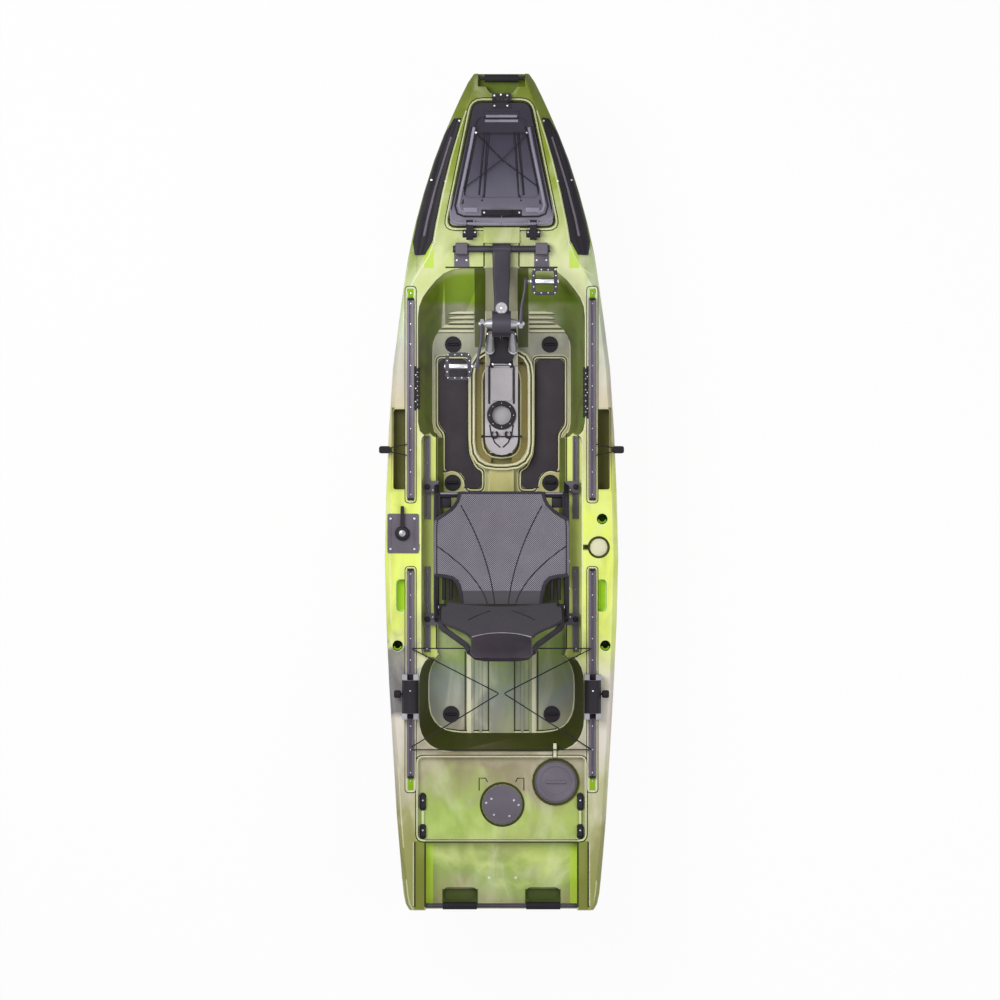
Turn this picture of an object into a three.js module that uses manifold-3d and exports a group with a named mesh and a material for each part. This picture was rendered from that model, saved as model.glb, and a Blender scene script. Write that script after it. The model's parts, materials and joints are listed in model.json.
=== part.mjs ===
// A sit-on-top pedal kayak: a hollow moulded hull with a swing-up pedal drive, a sliding seat,
// a hinged bow hatch, gear rails and a steering lever for a rudder under the stern.
// Millimetres, +Z up, +Y to the bow. The origin is amidships on the flat of the keel.
import * as THREE from "three";
import { mergeVertices } from "three/addons/utils/BufferGeometryUtils.js";
import Module from "manifold-3d";

const wasm = await Module();
wasm.setup();

// Driving dimensions.
const hullLength = 3660;
const hullBeam = 1028;
const sheerHeight = 330;
const wall = 5;
const gap = 0.3;
const overrun = 20;
const tiny = 1;
const halfLength = hullLength / 2;
const halfBeam = hullBeam / 2;
// Places along the hull are written for a hull this long, and move in share when its length changes.
const drawnShare = 1 / 3660;
const along = (place) => place * hullLength * drawnShare;
const degree = Math.PI / 180;
const roundSides = 16;
const fineSides = 24;

// Solids and how they are joined.
function solid(geometry) {
  const bare = geometry.index ? geometry.toNonIndexed() : geometry.clone();
  bare.deleteAttribute("normal");
  bare.deleteAttribute("uv");
  const merged = mergeVertices(bare, 1e-3);
  const corners = merged.index.array;
  const at = (i) => new THREE.Vector3().fromBufferAttribute(merged.attributes.position, i);
  const kept = [];
  let volume = 0;
  for (let i = 0; i < corners.length; i += 3) {
    const [a, b, c] = [corners[i], corners[i + 1], corners[i + 2]];
    if (a === b || b === c || c === a) continue;
    kept.push([a, b, c]);
    volume += at(a).dot(at(b).cross(at(c)));
  }
  // a surface that was wound inwards is turned round
  const facing = volume < 0 ? kept.map(([a, b, c]) => [c, b, a]) : kept;
  return new wasm.Manifold(
    new wasm.Mesh({
      numProp: 3,
      vertProperties: merged.attributes.position.array,
      triVerts: new Uint32Array(facing.flat()),
    }),
  );
}

function geometryOf(body) {
  const mesh = body.getMesh();
  const geometry = new THREE.BufferGeometry();
  geometry.setAttribute("position", new THREE.BufferAttribute(mesh.vertProperties, 3));
  geometry.setIndex(new THREE.BufferAttribute(mesh.triVerts, 1));
  const flat = geometry.toNonIndexed();
  flat.computeVertexNormals();
  return flat;
}

const join = (first, ...others) => others.reduce((all, one) => all.add(one), first);
const cut = (first, ...others) => others.reduce((all, one) => all.subtract(one), first);

// Moves a geometry: turned about X, then Y, then Z, then shifted.
function placed(geometry, x = 0, y = 0, z = 0, turnX = 0, turnY = 0, turnZ = 0) {
  const turn = new THREE.Matrix4().makeRotationFromEuler(new THREE.Euler(turnX, turnY, turnZ, "ZYX"));
  geometry.applyMatrix4(turn);
  geometry.applyMatrix4(new THREE.Matrix4().makeTranslation(x, y, z));
  return geometry;
}

// A box between two corners.
function block(x0, x1, y0, y1, z0, z1) {
  const cuboid = new THREE.BoxGeometry(x1 - x0, y1 - y0, z1 - z0);
  return solid(placed(cuboid, (x0 + x1) / 2, (y0 + y1) / 2, (z0 + z1) / 2));
}

// A box between two opposite corners, in any order.
function box(one, other) {
  const low = one.map((value, i) => Math.min(value, other[i]));
  const high = one.map((value, i) => Math.max(value, other[i]));
  return block(low[0], high[0], low[1], high[1], low[2], high[2]);
}

// A round bar from one point to another, with its own radius at each end.
function bar(from, to, radius, endRadius = radius, sides = roundSides) {
  const start = new THREE.Vector3(...from);
  const end = new THREE.Vector3(...to);
  const along = end.clone().sub(start);
  const cylinder = new THREE.CylinderGeometry(endRadius, radius, along.length(), sides);
  const turn = new THREE.Quaternion().setFromUnitVectors(new THREE.Vector3(0, 1, 0), along.normalize());
  cylinder.applyQuaternion(turn);
  const middle = start.add(end).multiplyScalar(0.5);
  return solid(placed(cylinder, middle.x, middle.y, middle.z));
}

// The radius whose polygon of so many sides clears a round bar inside it.
const around = (radius, sides = roundSides) => (radius + gap) / Math.cos(Math.PI / sides);

// A closed outline with each corner rounded: [x, y] corners, counterclockwise.
function rounded(corners, radius, steps = 3) {
  const points = [];
  const count = corners.length;
  corners.forEach((corner, i) => {
    const here = new THREE.Vector2(...corner);
    const before = new THREE.Vector2(...corners[(i + count - 1) % count]).sub(here);
    const after = new THREE.Vector2(...corners[(i + 1) % count]).sub(here);
    const reach = Math.min(radius, before.length() * 0.45, after.length() * 0.45);
    const start = here.clone().add(before.setLength(reach));
    const end = here.clone().add(after.setLength(reach));
    const curve = new THREE.QuadraticBezierCurve(start, here, end);
    points.push(...curve.getPoints(steps));
  });
  return points;
}

// The same outline moved outwards by a distance, or inwards where it is negative.
function offset(corners, distance) {
  const count = corners.length;
  return corners.map((corner, i) => {
    const before = corners[(i + count - 1) % count];
    const after = corners[(i + 1) % count];
    const a = new THREE.Vector2(corner[0] - before[0], corner[1] - before[1]).normalize();
    const b = new THREE.Vector2(after[0] - corner[0], after[1] - corner[1]).normalize();
    const bend = 1 + a.dot(b);
    return [
      corner[0] + (distance * (a.y + b.y)) / bend,
      corner[1] - (distance * (a.x + b.x)) / bend,
    ];
  });
}

// Rings of as many points each, joined one to the next and closed at both ends.
function loft(rings) {
  const size = rings[0].length;
  const points = rings.flat().map((p) => [p.x, p.y, p.z]);
  const faces = [];
  for (let r = 0; r + 1 < rings.length; r++)
    for (let i = 0; i < size; i++) {
      const a = r * size + i;
      const b = r * size + ((i + 1) % size);
      faces.push([a, b, b + size], [a, b + size, a + size]);
    }
  const ends = [
    [0, 1],
    [rings.length - 1, 0],
  ];
  for (const [r, flip] of ends) {
    const middle = new THREE.Vector3();
    rings[r].forEach((p) => middle.add(p));
    middle.divideScalar(size);
    const centre = points.push([middle.x, middle.y, middle.z]) - 1;
    for (let i = 0; i < size; i++) {
      const a = r * size + i;
      const b = r * size + ((i + 1) % size);
      faces.push(flip ? [b, a, centre] : [a, b, centre]);
    }
  }
  const geometry = new THREE.BufferGeometry();
  geometry.setAttribute("position", new THREE.Float32BufferAttribute(points.flat(), 3));
  geometry.setIndex(faces.flat());
  return solid(geometry);
}

const ringAt = (outline, z) => outline.map((p) => new THREE.Vector3(p.x, p.y, z));

// An outline drawn out along +Z to a depth.
const drawnOut = (outline, depth) =>
  new THREE.ExtrudeGeometry(new THREE.Shape(outline), { depth, bevelEnabled: false });

// An upright prism of an outline of [x, y] corners, its corners rounded.
const slab = (corners, radius, z0, z1, steps = 3) =>
  solid(placed(drawnOut(rounded(corners, radius, steps), z1 - z0), 0, 0, z0));

// A prism of a side outline of [y, z] corners, from one x to another.
const sideSlab = (corners, radius, x0, x1, steps = 2) =>
  solid(placed(drawnOut(rounded(corners, radius, steps), x1 - x0), x0, 0, 0, Math.PI / 2, 0, Math.PI / 2));

// A prism of a front outline of [x, z] corners, from one y back to another.
const frontSlab = (corners, radius, y0, y1, steps = 2) =>
  solid(placed(drawnOut(rounded(corners, radius, steps), y1 - y0), 0, y1, 0, Math.PI / 2));

const rectangle = (x0, x1, y0, y1) => [
  [x0, y0],
  [x1, y0],
  [x1, y1],
  [x0, y1],
];

// A lathe of [radius, height] points about +Z.
function turned(profile, sides = fineSides) {
  const points = profile.map(([r, h]) => new THREE.Vector2(r, h));
  const geometry = new THREE.LatheGeometry(points, sides);
  return solid(placed(geometry, 0, 0, 0, Math.PI / 2));
}

// A path through points that is sampled exactly at them.
class CornerPath extends THREE.Curve {
  constructor(points) {
    super();
    this.points = points;
  }
  getPoint(t) {
    const place = t * (this.points.length - 1);
    const i = Math.min(Math.floor(place), this.points.length - 2);
    return this.points[i].clone().lerp(this.points[i + 1], place - i);
  }
  getPointAt(u) {
    return this.getPoint(u);
  }
  getTangentAt(u) {
    const last = this.points.length - 1;
    const i = Math.round(u * last);
    const before = this.points[Math.max(i - 1, 0)];
    const after = this.points[Math.min(i + 1, last)];
    const here = this.points[i];
    const into = here.clone().sub(before).normalize();
    const out = after.clone().sub(here).normalize();
    return into.add(out).normalize();
  }
}

// Points with a round bend at each inner corner.
function bends(corners, radius, steps = 3) {
  const at = corners.map((c) => new THREE.Vector3(...c));
  const path = [at[0]];
  for (let i = 1; i < at.length - 1; i++) {
    const back = at[i - 1].clone().sub(at[i]);
    const on = at[i + 1].clone().sub(at[i]);
    const reach = Math.min(radius, back.length() * 0.45, on.length() * 0.45);
    const curve = new THREE.QuadraticBezierCurve3(
      at[i].clone().add(back.setLength(reach)),
      at[i],
      at[i].clone().add(on.setLength(reach)),
    );
    path.push(...curve.getPoints(steps));
  }
  path.push(at[at.length - 1]);
  return path;
}

// A round tube along corners with round bends.
function tube(corners, radius, bendRadius, sides = 10, steps = 3) {
  const path = bends(corners, bendRadius, steps);
  const circle = [];
  for (let i = 0; i < sides; i++) {
    const angle = (i / sides) * 2 * Math.PI;
    circle.push(new THREE.Vector2(radius * Math.cos(angle), radius * Math.sin(angle)));
  }
  const geometry = new THREE.ExtrudeGeometry(new THREE.Shape(circle), {
    steps: path.length - 1,
    extrudePath: new CornerPath(path),
  });
  return solid(geometry);
}

// A body turned about X, then Y, then Z, in degrees, and shifted.
function moved(body, turn = [0, 0, 0], shift = [0, 0, 0]) {
  const [x, y, z] = turn.map((angle) => angle * degree);
  return solid(placed(geometryOf(body), ...shift, x, y, z));
}
const mirrored = (body) => solid(geometryOf(body).applyMatrix4(new THREE.Matrix4().makeScale(-1, 1, 1)));

// The finished model.
const kayak = new THREE.Group();
const finishes = {
  hull: { color: 0x8fa82e, roughness: 0.5, metalness: 0 },
  blackPlastic: { color: 0x1b1b1e, roughness: 0.6, metalness: 0 },
  greyPlastic: { color: 0x8e9291, roughness: 0.55, metalness: 0 },
  lidPlastic: { color: 0x2a2b30, roughness: 0.55, metalness: 0 },
  rubber: { color: 0x141414, roughness: 0.9, metalness: 0 },
  blackMetal: { color: 0x202225, roughness: 0.45, metalness: 0.6 },
  greyMetal: { color: 0x9a9ea1, roughness: 0.4, metalness: 0.7 },
  steel: { color: 0xb4b7b9, roughness: 0.35, metalness: 0.9 },
  mesh: { color: 0x3d3f44, roughness: 0.9, metalness: 0 },
  foam: { color: 0x25252a, roughness: 0.95, metalness: 0 },
  cord: { color: 0x151515, roughness: 0.9, metalness: 0 },
};

function add(name, body, finish) {
  const mesh = new THREE.Mesh(geometryOf(body), new THREE.MeshStandardMaterial(finishes[finish]));
  mesh.name = name;
  kayak.add(mesh);
  return body;
}

// Hull form.
const hullForm = {
  bowDeckStart: along(900),
  bowDeckSlope: 0.1,
  shoulderStart: along(850),
  shoulderMiddle: [along(950), along(990)],
  shoulderEnd: along(1100),
  // along the half length: half beam as a share of the greatest half beam
  planShares: [
    [-1, 0.79], [-0.985, 0.822], [-0.965, 0.836], [-0.927, 0.851], [-0.85, 0.875], [-0.774, 0.897],
    [-0.66, 0.922], [-0.467, 0.961], [-0.314, 0.986], [-0.161, 1], [0, 0.987], [0.145, 0.965],
    [0.298, 0.93], [0.413, 0.878], [0.49, 0.84], [0.567, 0.798], [0.643, 0.738], [0.72, 0.663],
    [0.796, 0.576], [0.855, 0.494], [0.911, 0.405], [0.95, 0.34], [0.98, 0.285], [1, 0.235],
  ],
  // along the half length: height of the keel as a share of the sheer height
  keelShares: [
    [-1, 0.22], [-0.927, 0.13], [-0.85, 0.07], [-0.774, 0.03], [-0.66, 0], [0.643, 0], [0.72, 0.02],
    [0.796, 0.08], [0.855, 0.17], [0.911, 0.3], [0.95, 0.43], [0.98, 0.56], [1, 0.68],
  ],
  // half sections, keel to middle of the deck: shares of the half beam and of the depth
  midSectionShares: [
    [0, 0], [0.2, 0], [0.33, 0.075], [0.5, 0.05], [0.68, 0.07], [0.84, 0.16], [0.95, 0.38],
    [1, 0.7], [0.992, 0.93], [0.955, 1], [0, 1],
  ],
  bowSectionShares: [
    [0, 0], [0.08, 0.02], [0.18, 0.14], [0.32, 0.22], [0.5, 0.32], [0.7, 0.45], [0.9, 0.62],
    [1, 0.75], [0.985, 0.8], [0.745, 1], [0, 1],
  ],
};

// A value at a place, read between the rows of a table of pairs.
function between(table, place) {
  const last = table.length - 1;
  if (place <= table[0][0]) return table[0][1];
  if (place >= table[last][0]) return table[last][1];
  const i = table.findIndex((row) => row[0] >= place);
  const [a, b] = [table[i - 1], table[i]];
  return a[1] + ((b[1] - a[1]) * (place - a[0])) / (b[0] - a[0]);
}

const deckHeight = (y) =>
  sheerHeight + Math.max(0, y - hullForm.bowDeckStart) * hullForm.bowDeckSlope;
const halfBeamAt = (y) => halfBeam * between(hullForm.planShares, y / halfLength);
const keelHeight = (y) => sheerHeight * between(hullForm.keelShares, y / halfLength);

// Half section at y, as [x, z] points from the keel round to the middle of the deck.
function halfSection(y, inset) {
  const { shoulderStart, shoulderEnd, midSectionShares, bowSectionShares } = hullForm;
  const bowShare = THREE.MathUtils.smoothstep(y, shoulderStart, shoulderEnd);
  const reach = halfBeamAt(y) - inset;
  const low = keelHeight(y) + inset;
  const high = deckHeight(y) - inset;
  return midSectionShares.map(([x, z], i) => {
    const [bowX, bowZ] = bowSectionShares[i];
    const shareX = x + (bowX - x) * bowShare;
    const shareZ = z + (bowZ - z) * bowShare;
    return [reach * shareX, low + (high - low) * shareZ];
  });
}

const deckCorners = [hullForm.shoulderStart, hullForm.bowDeckStart, ...hullForm.shoulderMiddle,
  hullForm.shoulderEnd];
const stations = [...hullForm.planShares.map((row) => row[0] * halfLength),
  ...deckCorners].sort((a, b) => a - b);

// The whole outer form, or the same form a distance inside it.
function hullLoft(inset) {
  const rings = stations.map((station) => {
    const y = Math.max(-halfLength + inset, Math.min(halfLength - inset, station));
    const half = halfSection(y, inset);
    const right = half.map(([x, z]) => new THREE.Vector3(x, y, z));
    const left = half.slice(1, -1).reverse();
    return [...right, ...left.map(([x, z]) => new THREE.Vector3(-x, y, z))];
  });
  return loft(rings);
}

const justOutside = hullLoft(-gap);
const seated = (body) => cut(body, justOutside);

// Recesses in the hull: each has a top outline, a floor outline and two heights.
const axleHeight = 450;
const floorHeight = 120;
const cockpit = {
  floor: floorHeight,
  front: along(984),
  toeEnd: along(755),
  outer: 366,
  outerFloor: 305,
  inner: -90,
  innerFloor: -90,
  shoulderY: along(843),
  shoulderX: 239,
  back: along(240),
  corner: 70,
};
const bay = { front: along(262), back: along(-725), half: 352, ledge: 215, inner: 286, innerFloor: 256,
  corner: 45 };
const bayFloor = { step: along(-300), high: 175 };
const tankwell = {
  front: along(-690), back: along(-1134), floorBack: along(-1057),
  half: 362, floorHalf: 322, corner: 150, cornerSteps: 7,
};

const topOver = sheerHeight * 2;

// A recess: floor and top outlines with the same number of corners.
function recess(top, floor, radius, z0, z1, grow, steps = 3) {
  const low = rounded(offset(floor, grow), radius, steps);
  const high = rounded(offset(top, grow), radius, steps);
  const above = deckHeight(halfLength) + overrun;
  return loft([ringAt(low, z0 - grow), ringAt(high, z1), ringAt(high, above)]);
}

function cockpitRecess(grow) {
  const c = cockpit;
  const top = [
    [c.inner, c.back], [c.outer, c.back], [c.outer, c.shoulderY], [c.shoulderX, c.front], [c.inner, c.front],
  ];
  const floor = [
    [c.innerFloor, c.back], [c.outerFloor, c.back], [c.outerFloor, c.toeEnd - c.corner],
    [c.shoulderX, c.toeEnd], [c.innerFloor, c.toeEnd],
  ];
  const right = recess(top, floor, c.corner, c.floor, sheerHeight, grow);
  const both = join(right, mirrored(right));
  const b = bay;
  const bayTop = rectangle(-b.half, b.half, b.back, b.front);
  const bayLedge = rectangle(-b.half, b.half, b.back, b.front);
  const ledge = recess(bayTop, bayLedge, b.corner, b.ledge, sheerHeight, grow);
  const lowTop = rectangle(-b.inner, b.inner, bayFloor.step, b.front + c.corner);
  const lowFloor = rectangle(-b.innerFloor, b.innerFloor, bayFloor.step, b.front + c.corner);
  const low = recess(lowTop, lowFloor, b.corner, c.floor, b.ledge, grow);
  const rearTop = rectangle(-b.inner, b.inner, b.back, bayFloor.step + b.corner);
  const rear = recess(rearTop, rearTop, b.corner, bayFloor.high, b.ledge, grow);
  const t = tankwell;
  const wellTop = rectangle(-t.half, t.half, t.back, t.front);
  const wellFloor = rectangle(-t.floorHalf, t.floorHalf, t.floorBack, t.front);
  const well = recess(wellTop, wellFloor, t.corner, bayFloor.high, sheerHeight, grow, t.cornerSteps);
  return join(both, ledge, low, rear, well);
}

// The island between the footwells and the wider surround of the drive well.
const island = { half: 72, front: along(1020), top: 200, slopeEnd: along(800), back: along(560) };
const surround = {
  half: 143, channelHalf: 119, front: along(640), back: along(100), channelBack: along(126),
  rim: 172, ledge: 150, corner: 120, cornerSteps: 6,
};
const slot = { half: 52, front: along(748), back: along(172), corner: 30 };

function islandBody(grow) {
  const i = island;
  const side = [
    [i.front, -overrun], [i.front, deckHeight(i.front)], [cockpit.front, deckHeight(cockpit.front)],
    [i.slopeEnd, i.top], [i.back, i.top], [i.back, -overrun],
  ];
  const shrunk = offset(side, grow);
  const ridge = sideSlab(shrunk.map(([y, z]) => [y, z]), tiny, -i.half - grow, i.half + grow, 1);
  const s = surround;
  const outline = offset(rectangle(-s.half, s.half, s.back, s.front), grow);
  const collar = slab(outline, s.corner, -overrun, s.rim + grow, s.cornerSteps);
  return join(ridge, collar);
}

function channelRecess(grow) {
  const s = surround;
  const channelFront = s.front - wall * 2;
  const outline = offset(rectangle(-s.channelHalf, s.channelHalf, s.channelBack, channelFront), grow);
  const inner = slab(outline, s.corner, s.ledge - grow, topOver, s.cornerSteps);
  const keep = offset(rectangle(-island.half, island.half, island.back, island.front), -grow);
  return cut(inner, slab(keep, tiny, -overrun, topOver + overrun, 1));
}

const slotRecess = (grow) =>
  slab(offset(rectangle(-slot.half, slot.half, slot.back, slot.front), grow), slot.corner, -overrun, topOver);

// Straight-sided recesses from the deck down: outline, corner radius and floor height.
const sidePocket = { inner: 416, outer: 474, back: along(14), front: along(366), floor: 245, corner: 12 };
const fingerPocket = { inner: 414, outer: 460, back: along(-521), front: along(-380), floor: 292,
  corner: 20 };
const rodHole = { radius: 23, floor: 150 };
const rodHoles = [[441, along(-115)], [-455, along(-670)], [455, along(-670)]];
const cupWell = { x: 426, y: along(-239), radius: 40, floor: 255, neckEnd: 352, neckHalf: 10 };
const rearDeck = { half: 366, front: along(670) - halfLength, back: along(310) - halfLength, floor: 305,
  corner: 25 };
const sternPanel = { half: 332, front: rearDeck.back - 4, corner: 20, high: 285, low: 235 };
const sternPocket = {
  inner: 108, outer: 256, front: sternPanel.front - along(212), back: sternPanel.front - along(268),
  floor: 226, corner: 24,
};
const bowNotch = { half: 102, back: halfLength - 58, throatHalf: 60, throatBack: halfLength - 90,
  floor: 372 };
const hatchHole = { x: rearDeck.half - 128, y: rearDeck.back + along(252), radius: 66 };

const disc = (x, y, radius, z0, z1, sides = fineSides) => bar([x, y, z0], [x, y, z1], radius, radius, sides);

function deckRecesses(grow) {
  const high = sheerHeight + overrun;
  const sunk = (p, ...sides) => slab(offset(rectangle(...sides), grow), p.corner, p.floor - grow, high);
  const pocket = (p) => sunk(p, p.inner, p.outer, p.back, p.front);
  const right = join(pocket(sidePocket), pocket(fingerPocket));
  const holes = rodHoles.map(([x, y]) => disc(x, y, rodHole.radius + grow, rodHole.floor - grow, high,
    roundSides));
  const c = cupWell;
  const cup = disc(c.x, c.y, c.radius + grow, c.floor - grow, high);
  const neck = block(c.neckEnd - grow, c.x, c.y - c.neckHalf - grow, c.y + c.neckHalf + grow, c.floor - grow,
    high);
  const r = rearDeck;
  const rear = sunk(r, -r.half, r.half, r.back, r.front);
  return join(right, mirrored(right), ...holes, cup, neck, rear);
}

function sternRecess(grow) {
  const s = sternPanel;
  const end = -halfLength - overrun;
  const side = [
    [end, s.low - grow], [s.front + grow, s.high - grow], [s.front + grow, topOver], [end, topOver],
  ];
  const p = sternPocket;
  const outline = offset(rectangle(p.inner, p.outer, p.back, p.front), grow);
  const pocket = slab(outline, p.corner, p.floor - grow, topOver);
  return join(sideSlab(side, tiny, -s.half - grow, s.half + grow, 1), pocket, mirrored(pocket));
}

function bowRecess(grow) {
  const n = bowNotch;
  const end = halfLength + overrun;
  const wide = block(-n.half - grow, n.half + grow, n.back - grow, end, n.floor - grow, topOver);
  const throat = slab(
    offset(
      [[-n.half / 2, n.throatBack], [n.half / 2, n.throatBack], [n.throatHalf + overrun, n.back + overrun],
        [-n.throatHalf - overrun, n.back + overrun]],
      grow,
    ),
    tiny * overrun, n.floor - grow, topOver, 2,
  );
  return join(wide, throat);
}

function allRecesses(grow) {
  const open = cut(cockpitRecess(grow), islandBody(-grow));
  return join(open, channelRecess(grow), slotRecess(grow), deckRecesses(grow), sternRecess(grow),
    bowRecess(grow));
}

// Bow hatch, in a frame that lies on the sloping bow deck.
const slopeAngle = Math.atan(hullForm.bowDeckSlope);
const hatch = {
  hingeY: halfLength - along(120),
  front: halfLength - along(129),
  back: halfLength - along(662),
  frontHalf: 120,
  backHalf: 231,
  corner: 34,
  rimGap: 3,
  top: 24,
  panelDepth: 9,
  skin: 5,
  border: 24,
  coamingInset: 26,
  lidInset: 15,
  openingInset: 42,
  coamingHeight: 6,
};
const hatchOutline = [
  [-hatch.backHalf, hatch.back - hatch.hingeY], [hatch.backHalf, hatch.back - hatch.hingeY],
  [hatch.frontHalf, hatch.front - hatch.hingeY], [-hatch.frontHalf, hatch.front - hatch.hingeY],
];

// Turns a body from the deck frame, whose origin is under the hinge, into the kayak's frame.
function onBowDeck(body) {
  const tilt = slopeAngle / degree;
  return moved(body, [tilt, 0, 0], [0, hatch.hingeY, deckHeight(hatch.hingeY)]);
}

const hatchPrism = (inset, z0, z1) =>
  slab(offset(hatchOutline, -inset), Math.max(hatch.corner - inset / 2, wall), z0, z1, 4);

// Hull.
const deckStrip = { half: 79, front: along(1160), back: along(1092), height: 6 };
const keeper = { x: 139, half: 30, front: along(1150), back: along(1118), height: 12 };
const plug = { radius: 37, height: 4, gripLength: 46, gripWidth: 9, gripHeight: 14 };
const frontPlug = { x: 214, y: along(656), z: cockpit.floor };
const middlePlug = { x: 216, y: along(44), z: cockpit.floor };
const rearPlug = { x: 222, y: along(-977), z: bayFloor.high };
const plugs = [frontPlug, middlePlug, rearPlug];
const coverPin = { y: along(178), z: 146, radius: 4 };
const tailRelief = { half: 46, back: along(130), floor: 122 };
const strip = { half: 55, back: along(-20), height: 152 };
const floorRib = { height: 5, half: 57, grooves: [92, 128], width: 24, front: along(-560) };
const rudderPost = { y: along(88) - halfLength, radius: 12, bossRadius: 26, top: 150 };
// Pieces sunk half a wall into the hull's skin, so that they are one body with it.
const root = wall / 2;

function hullBody() {
  const outer = cut(hullLoft(0), allRecesses(0));
  const t = tailRelief;
  const tail = rectangle(-t.half, t.half, t.back, slot.back + slot.corner);
  const relief = slab(tail, wall, t.floor, topOver);
  const reliefWall = slab(offset(tail, wall), wall, t.floor - wall, topOver);
  const hollow = cut(hullLoft(wall), allRecesses(wall), reliefWall);
  let body = cut(outer, relief, hollow);
  // raised parts
  const coaming = hatchPrism(hatch.coamingInset, -wall, hatch.coamingHeight);
  body = join(body, onBowDeck(cut(coaming, hatchPrism(hatch.openingInset, -overrun, overrun))));
  body = cut(body, onBowDeck(hatchPrism(hatch.openingInset, -wall * 4, overrun)));
  const d = deckStrip;
  body = join(body, block(-d.half, d.half, d.back, d.front, deckHeight(d.back) - wall,
    deckHeight(d.front) + d.height));
  const k = keeper;
  const keeperHigh = deckHeight(k.front) + k.height;
  for (const side of [-1, 1]) {
    const x = side * k.x;
    body = join(body, block(x - k.half, x + k.half, k.back, k.front, deckHeight(k.back) - wall, keeperHigh));
  }
  const g = { half: plug.gripLength / 2, halfWidth: plug.gripWidth / 2 };
  for (const { x: out, y, z } of plugs)
    for (const x of [out, -out]) {
      const grip = block(x - g.half, x + g.half, y - g.halfWidth, y + g.halfWidth, z - root,
        z + plug.gripHeight);
      body = join(body, disc(x, y, plug.radius, z - root, z + plug.height, roundSides), grip);
    }
  const stripFront = surround.back + overrun;
  body = join(body, block(-strip.half, strip.half, strip.back, stripFront, cockpit.floor - root,
    strip.height));
  const f = floorRib;
  const ribBack = tankwell.floorBack - f.height;
  const ribOn = (x0, x1) => block(x0, x1, ribBack, f.front, bayFloor.high - root, bayFloor.high + f.height);
  const floorRibs = [ribOn(-f.half, f.half)];
  for (const side of [-1, 1])
    for (const x of f.grooves) floorRibs.push(ribOn(side * x - f.width / 4, side * x + f.width / 4));
  body = join(body, ...floorRibs);
  // hinge pin holes in the walls of the well, and the rudder's socket
  const pinEnd = slot.half + wall * 2;
  const pinHole = bar([-pinEnd, coverPin.y, coverPin.z], [pinEnd, coverPin.y, coverPin.z],
    around(coverPin.radius));
  body = cut(body, pinHole);
  body = cut(body, disc(hatchHole.x, hatchHole.y, hatchHole.radius, rearDeck.floor - overrun, topOver));
  const r = rudderPost;
  const low = keelHeight(r.y);
  const boss = bar([0, r.y, low + root], [0, r.y, r.top], r.bossRadius);
  body = join(body, boss);
  body = cut(body, bar([0, r.y, 0], [0, r.y, r.top - wall * 3], around(r.radius)));
  return body;
}

add("hull", hullBody(), "hull");

// Bow hatch lid, seal, hinge, latches, cord and handle.
const hinge = {
  half: 41, radius: 6, pin: 2.5, height: 30, leafFront: 31, leafBack: -34, leaf: 3, knuckle: 26,
  plateStart: 9, wingFront: -12, lugBack: 14,
};
const latch = {
  x: keeper.x, half: 15, pivotY: along(-526), reach: 80, radius: 7, grip: 30, rise: 9, armHalf: 6,
  slopeRun: 12,
  tipHalf: 1, highTip: 4, crossFront: 40, crossBack: 62, crossLow: 4, crossHigh: 3, armRound: 3, sides: 12,
};
const lidPanel = { front: along(-70), frontHalf: 108, back: along(-423), backHalf: 170 };
const lidRib = {
  front: along(-140), frontX: 66, frontRadius: 4, back: along(-410), backX: 86, backRadius: 9, sides: 8,
};
const lidEar = { width: 6, half: 7, rise: 16 };
const lidBar = { x: 42, half: 36, back: along(-60), front: along(-46), rise: 4 };

function hatchLid() {
  const h = hatch;
  const sunk = h.top - h.panelDepth;
  const p = lidPanel;
  const panel = [[-p.backHalf, p.back], [p.backHalf, p.back], [p.frontHalf, p.front],
    [-p.frontHalf, p.front]];
  let lid = cut(
    hatchPrism(0, h.rimGap, h.top),
    slab(panel, h.corner, sunk, h.top + overrun),
    hatchPrism(h.lidInset, -overrun, sunk - h.skin),
  );
  const r = lidRib;
  const e = lidEar;
  const b = lidBar;
  for (const side of [-1, 1]) {
    const back = [side * r.backX, r.back, sunk];
    const rib = bar([side * r.frontX, r.front, sunk], back, r.frontRadius, r.backRadius, r.sides);
    const x = side * b.x;
    const crossPiece = block(x - b.half, x + b.half, b.back, b.front, h.top - tiny, h.top + b.rise);
    const ears = [-1, 1].map((ear) => {
      const near = side * latch.x + ear * (latch.half + gap);
      const far = near + ear * e.width;
      return box([near, latch.pivotY - e.half, h.top - tiny], [far, latch.pivotY + e.half, h.top + e.rise]);
    });
    lid = join(lid, rib, crossPiece, ...ears);
  }
  return onBowDeck(lid);
}
add("bow_hatch_lid", hatchLid(), "lidPlastic");

const sealOverhang = 4;
const sealBody = cut(
  hatchPrism(hatch.coamingInset, hatch.coamingHeight + gap, hatch.top - hatch.panelDepth - hatch.skin - gap),
  hatchPrism(hatch.openingInset - sealOverhang, -overrun, overrun),
);
add("hatch_seal", onBowDeck(sealBody), "rubber");

function hingeBase() {
  const k = hinge;
  const plateTop = k.height - k.radius + k.leaf;
  const plate = block(-k.half, k.half, k.plateStart, k.leafFront, gap, plateTop);
  const lugs = [-1, 1].map((side) => {
    const inner = side * (k.half - k.knuckle / 2);
    const outer = side * k.half;
    const barrel = bar([inner, 0, k.height], [outer, 0, k.height], k.radius);
    return join(barrel, box([inner, 0, k.height - k.radius], [outer, k.lugBack, plateTop + k.leaf]));
  });
  return onBowDeck(join(plate, ...lugs, bar([-k.half, 0, k.height], [k.half, 0, k.height], k.pin)));
}
add("hatch_hinge_base", hingeBase(), "blackPlastic");

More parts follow.
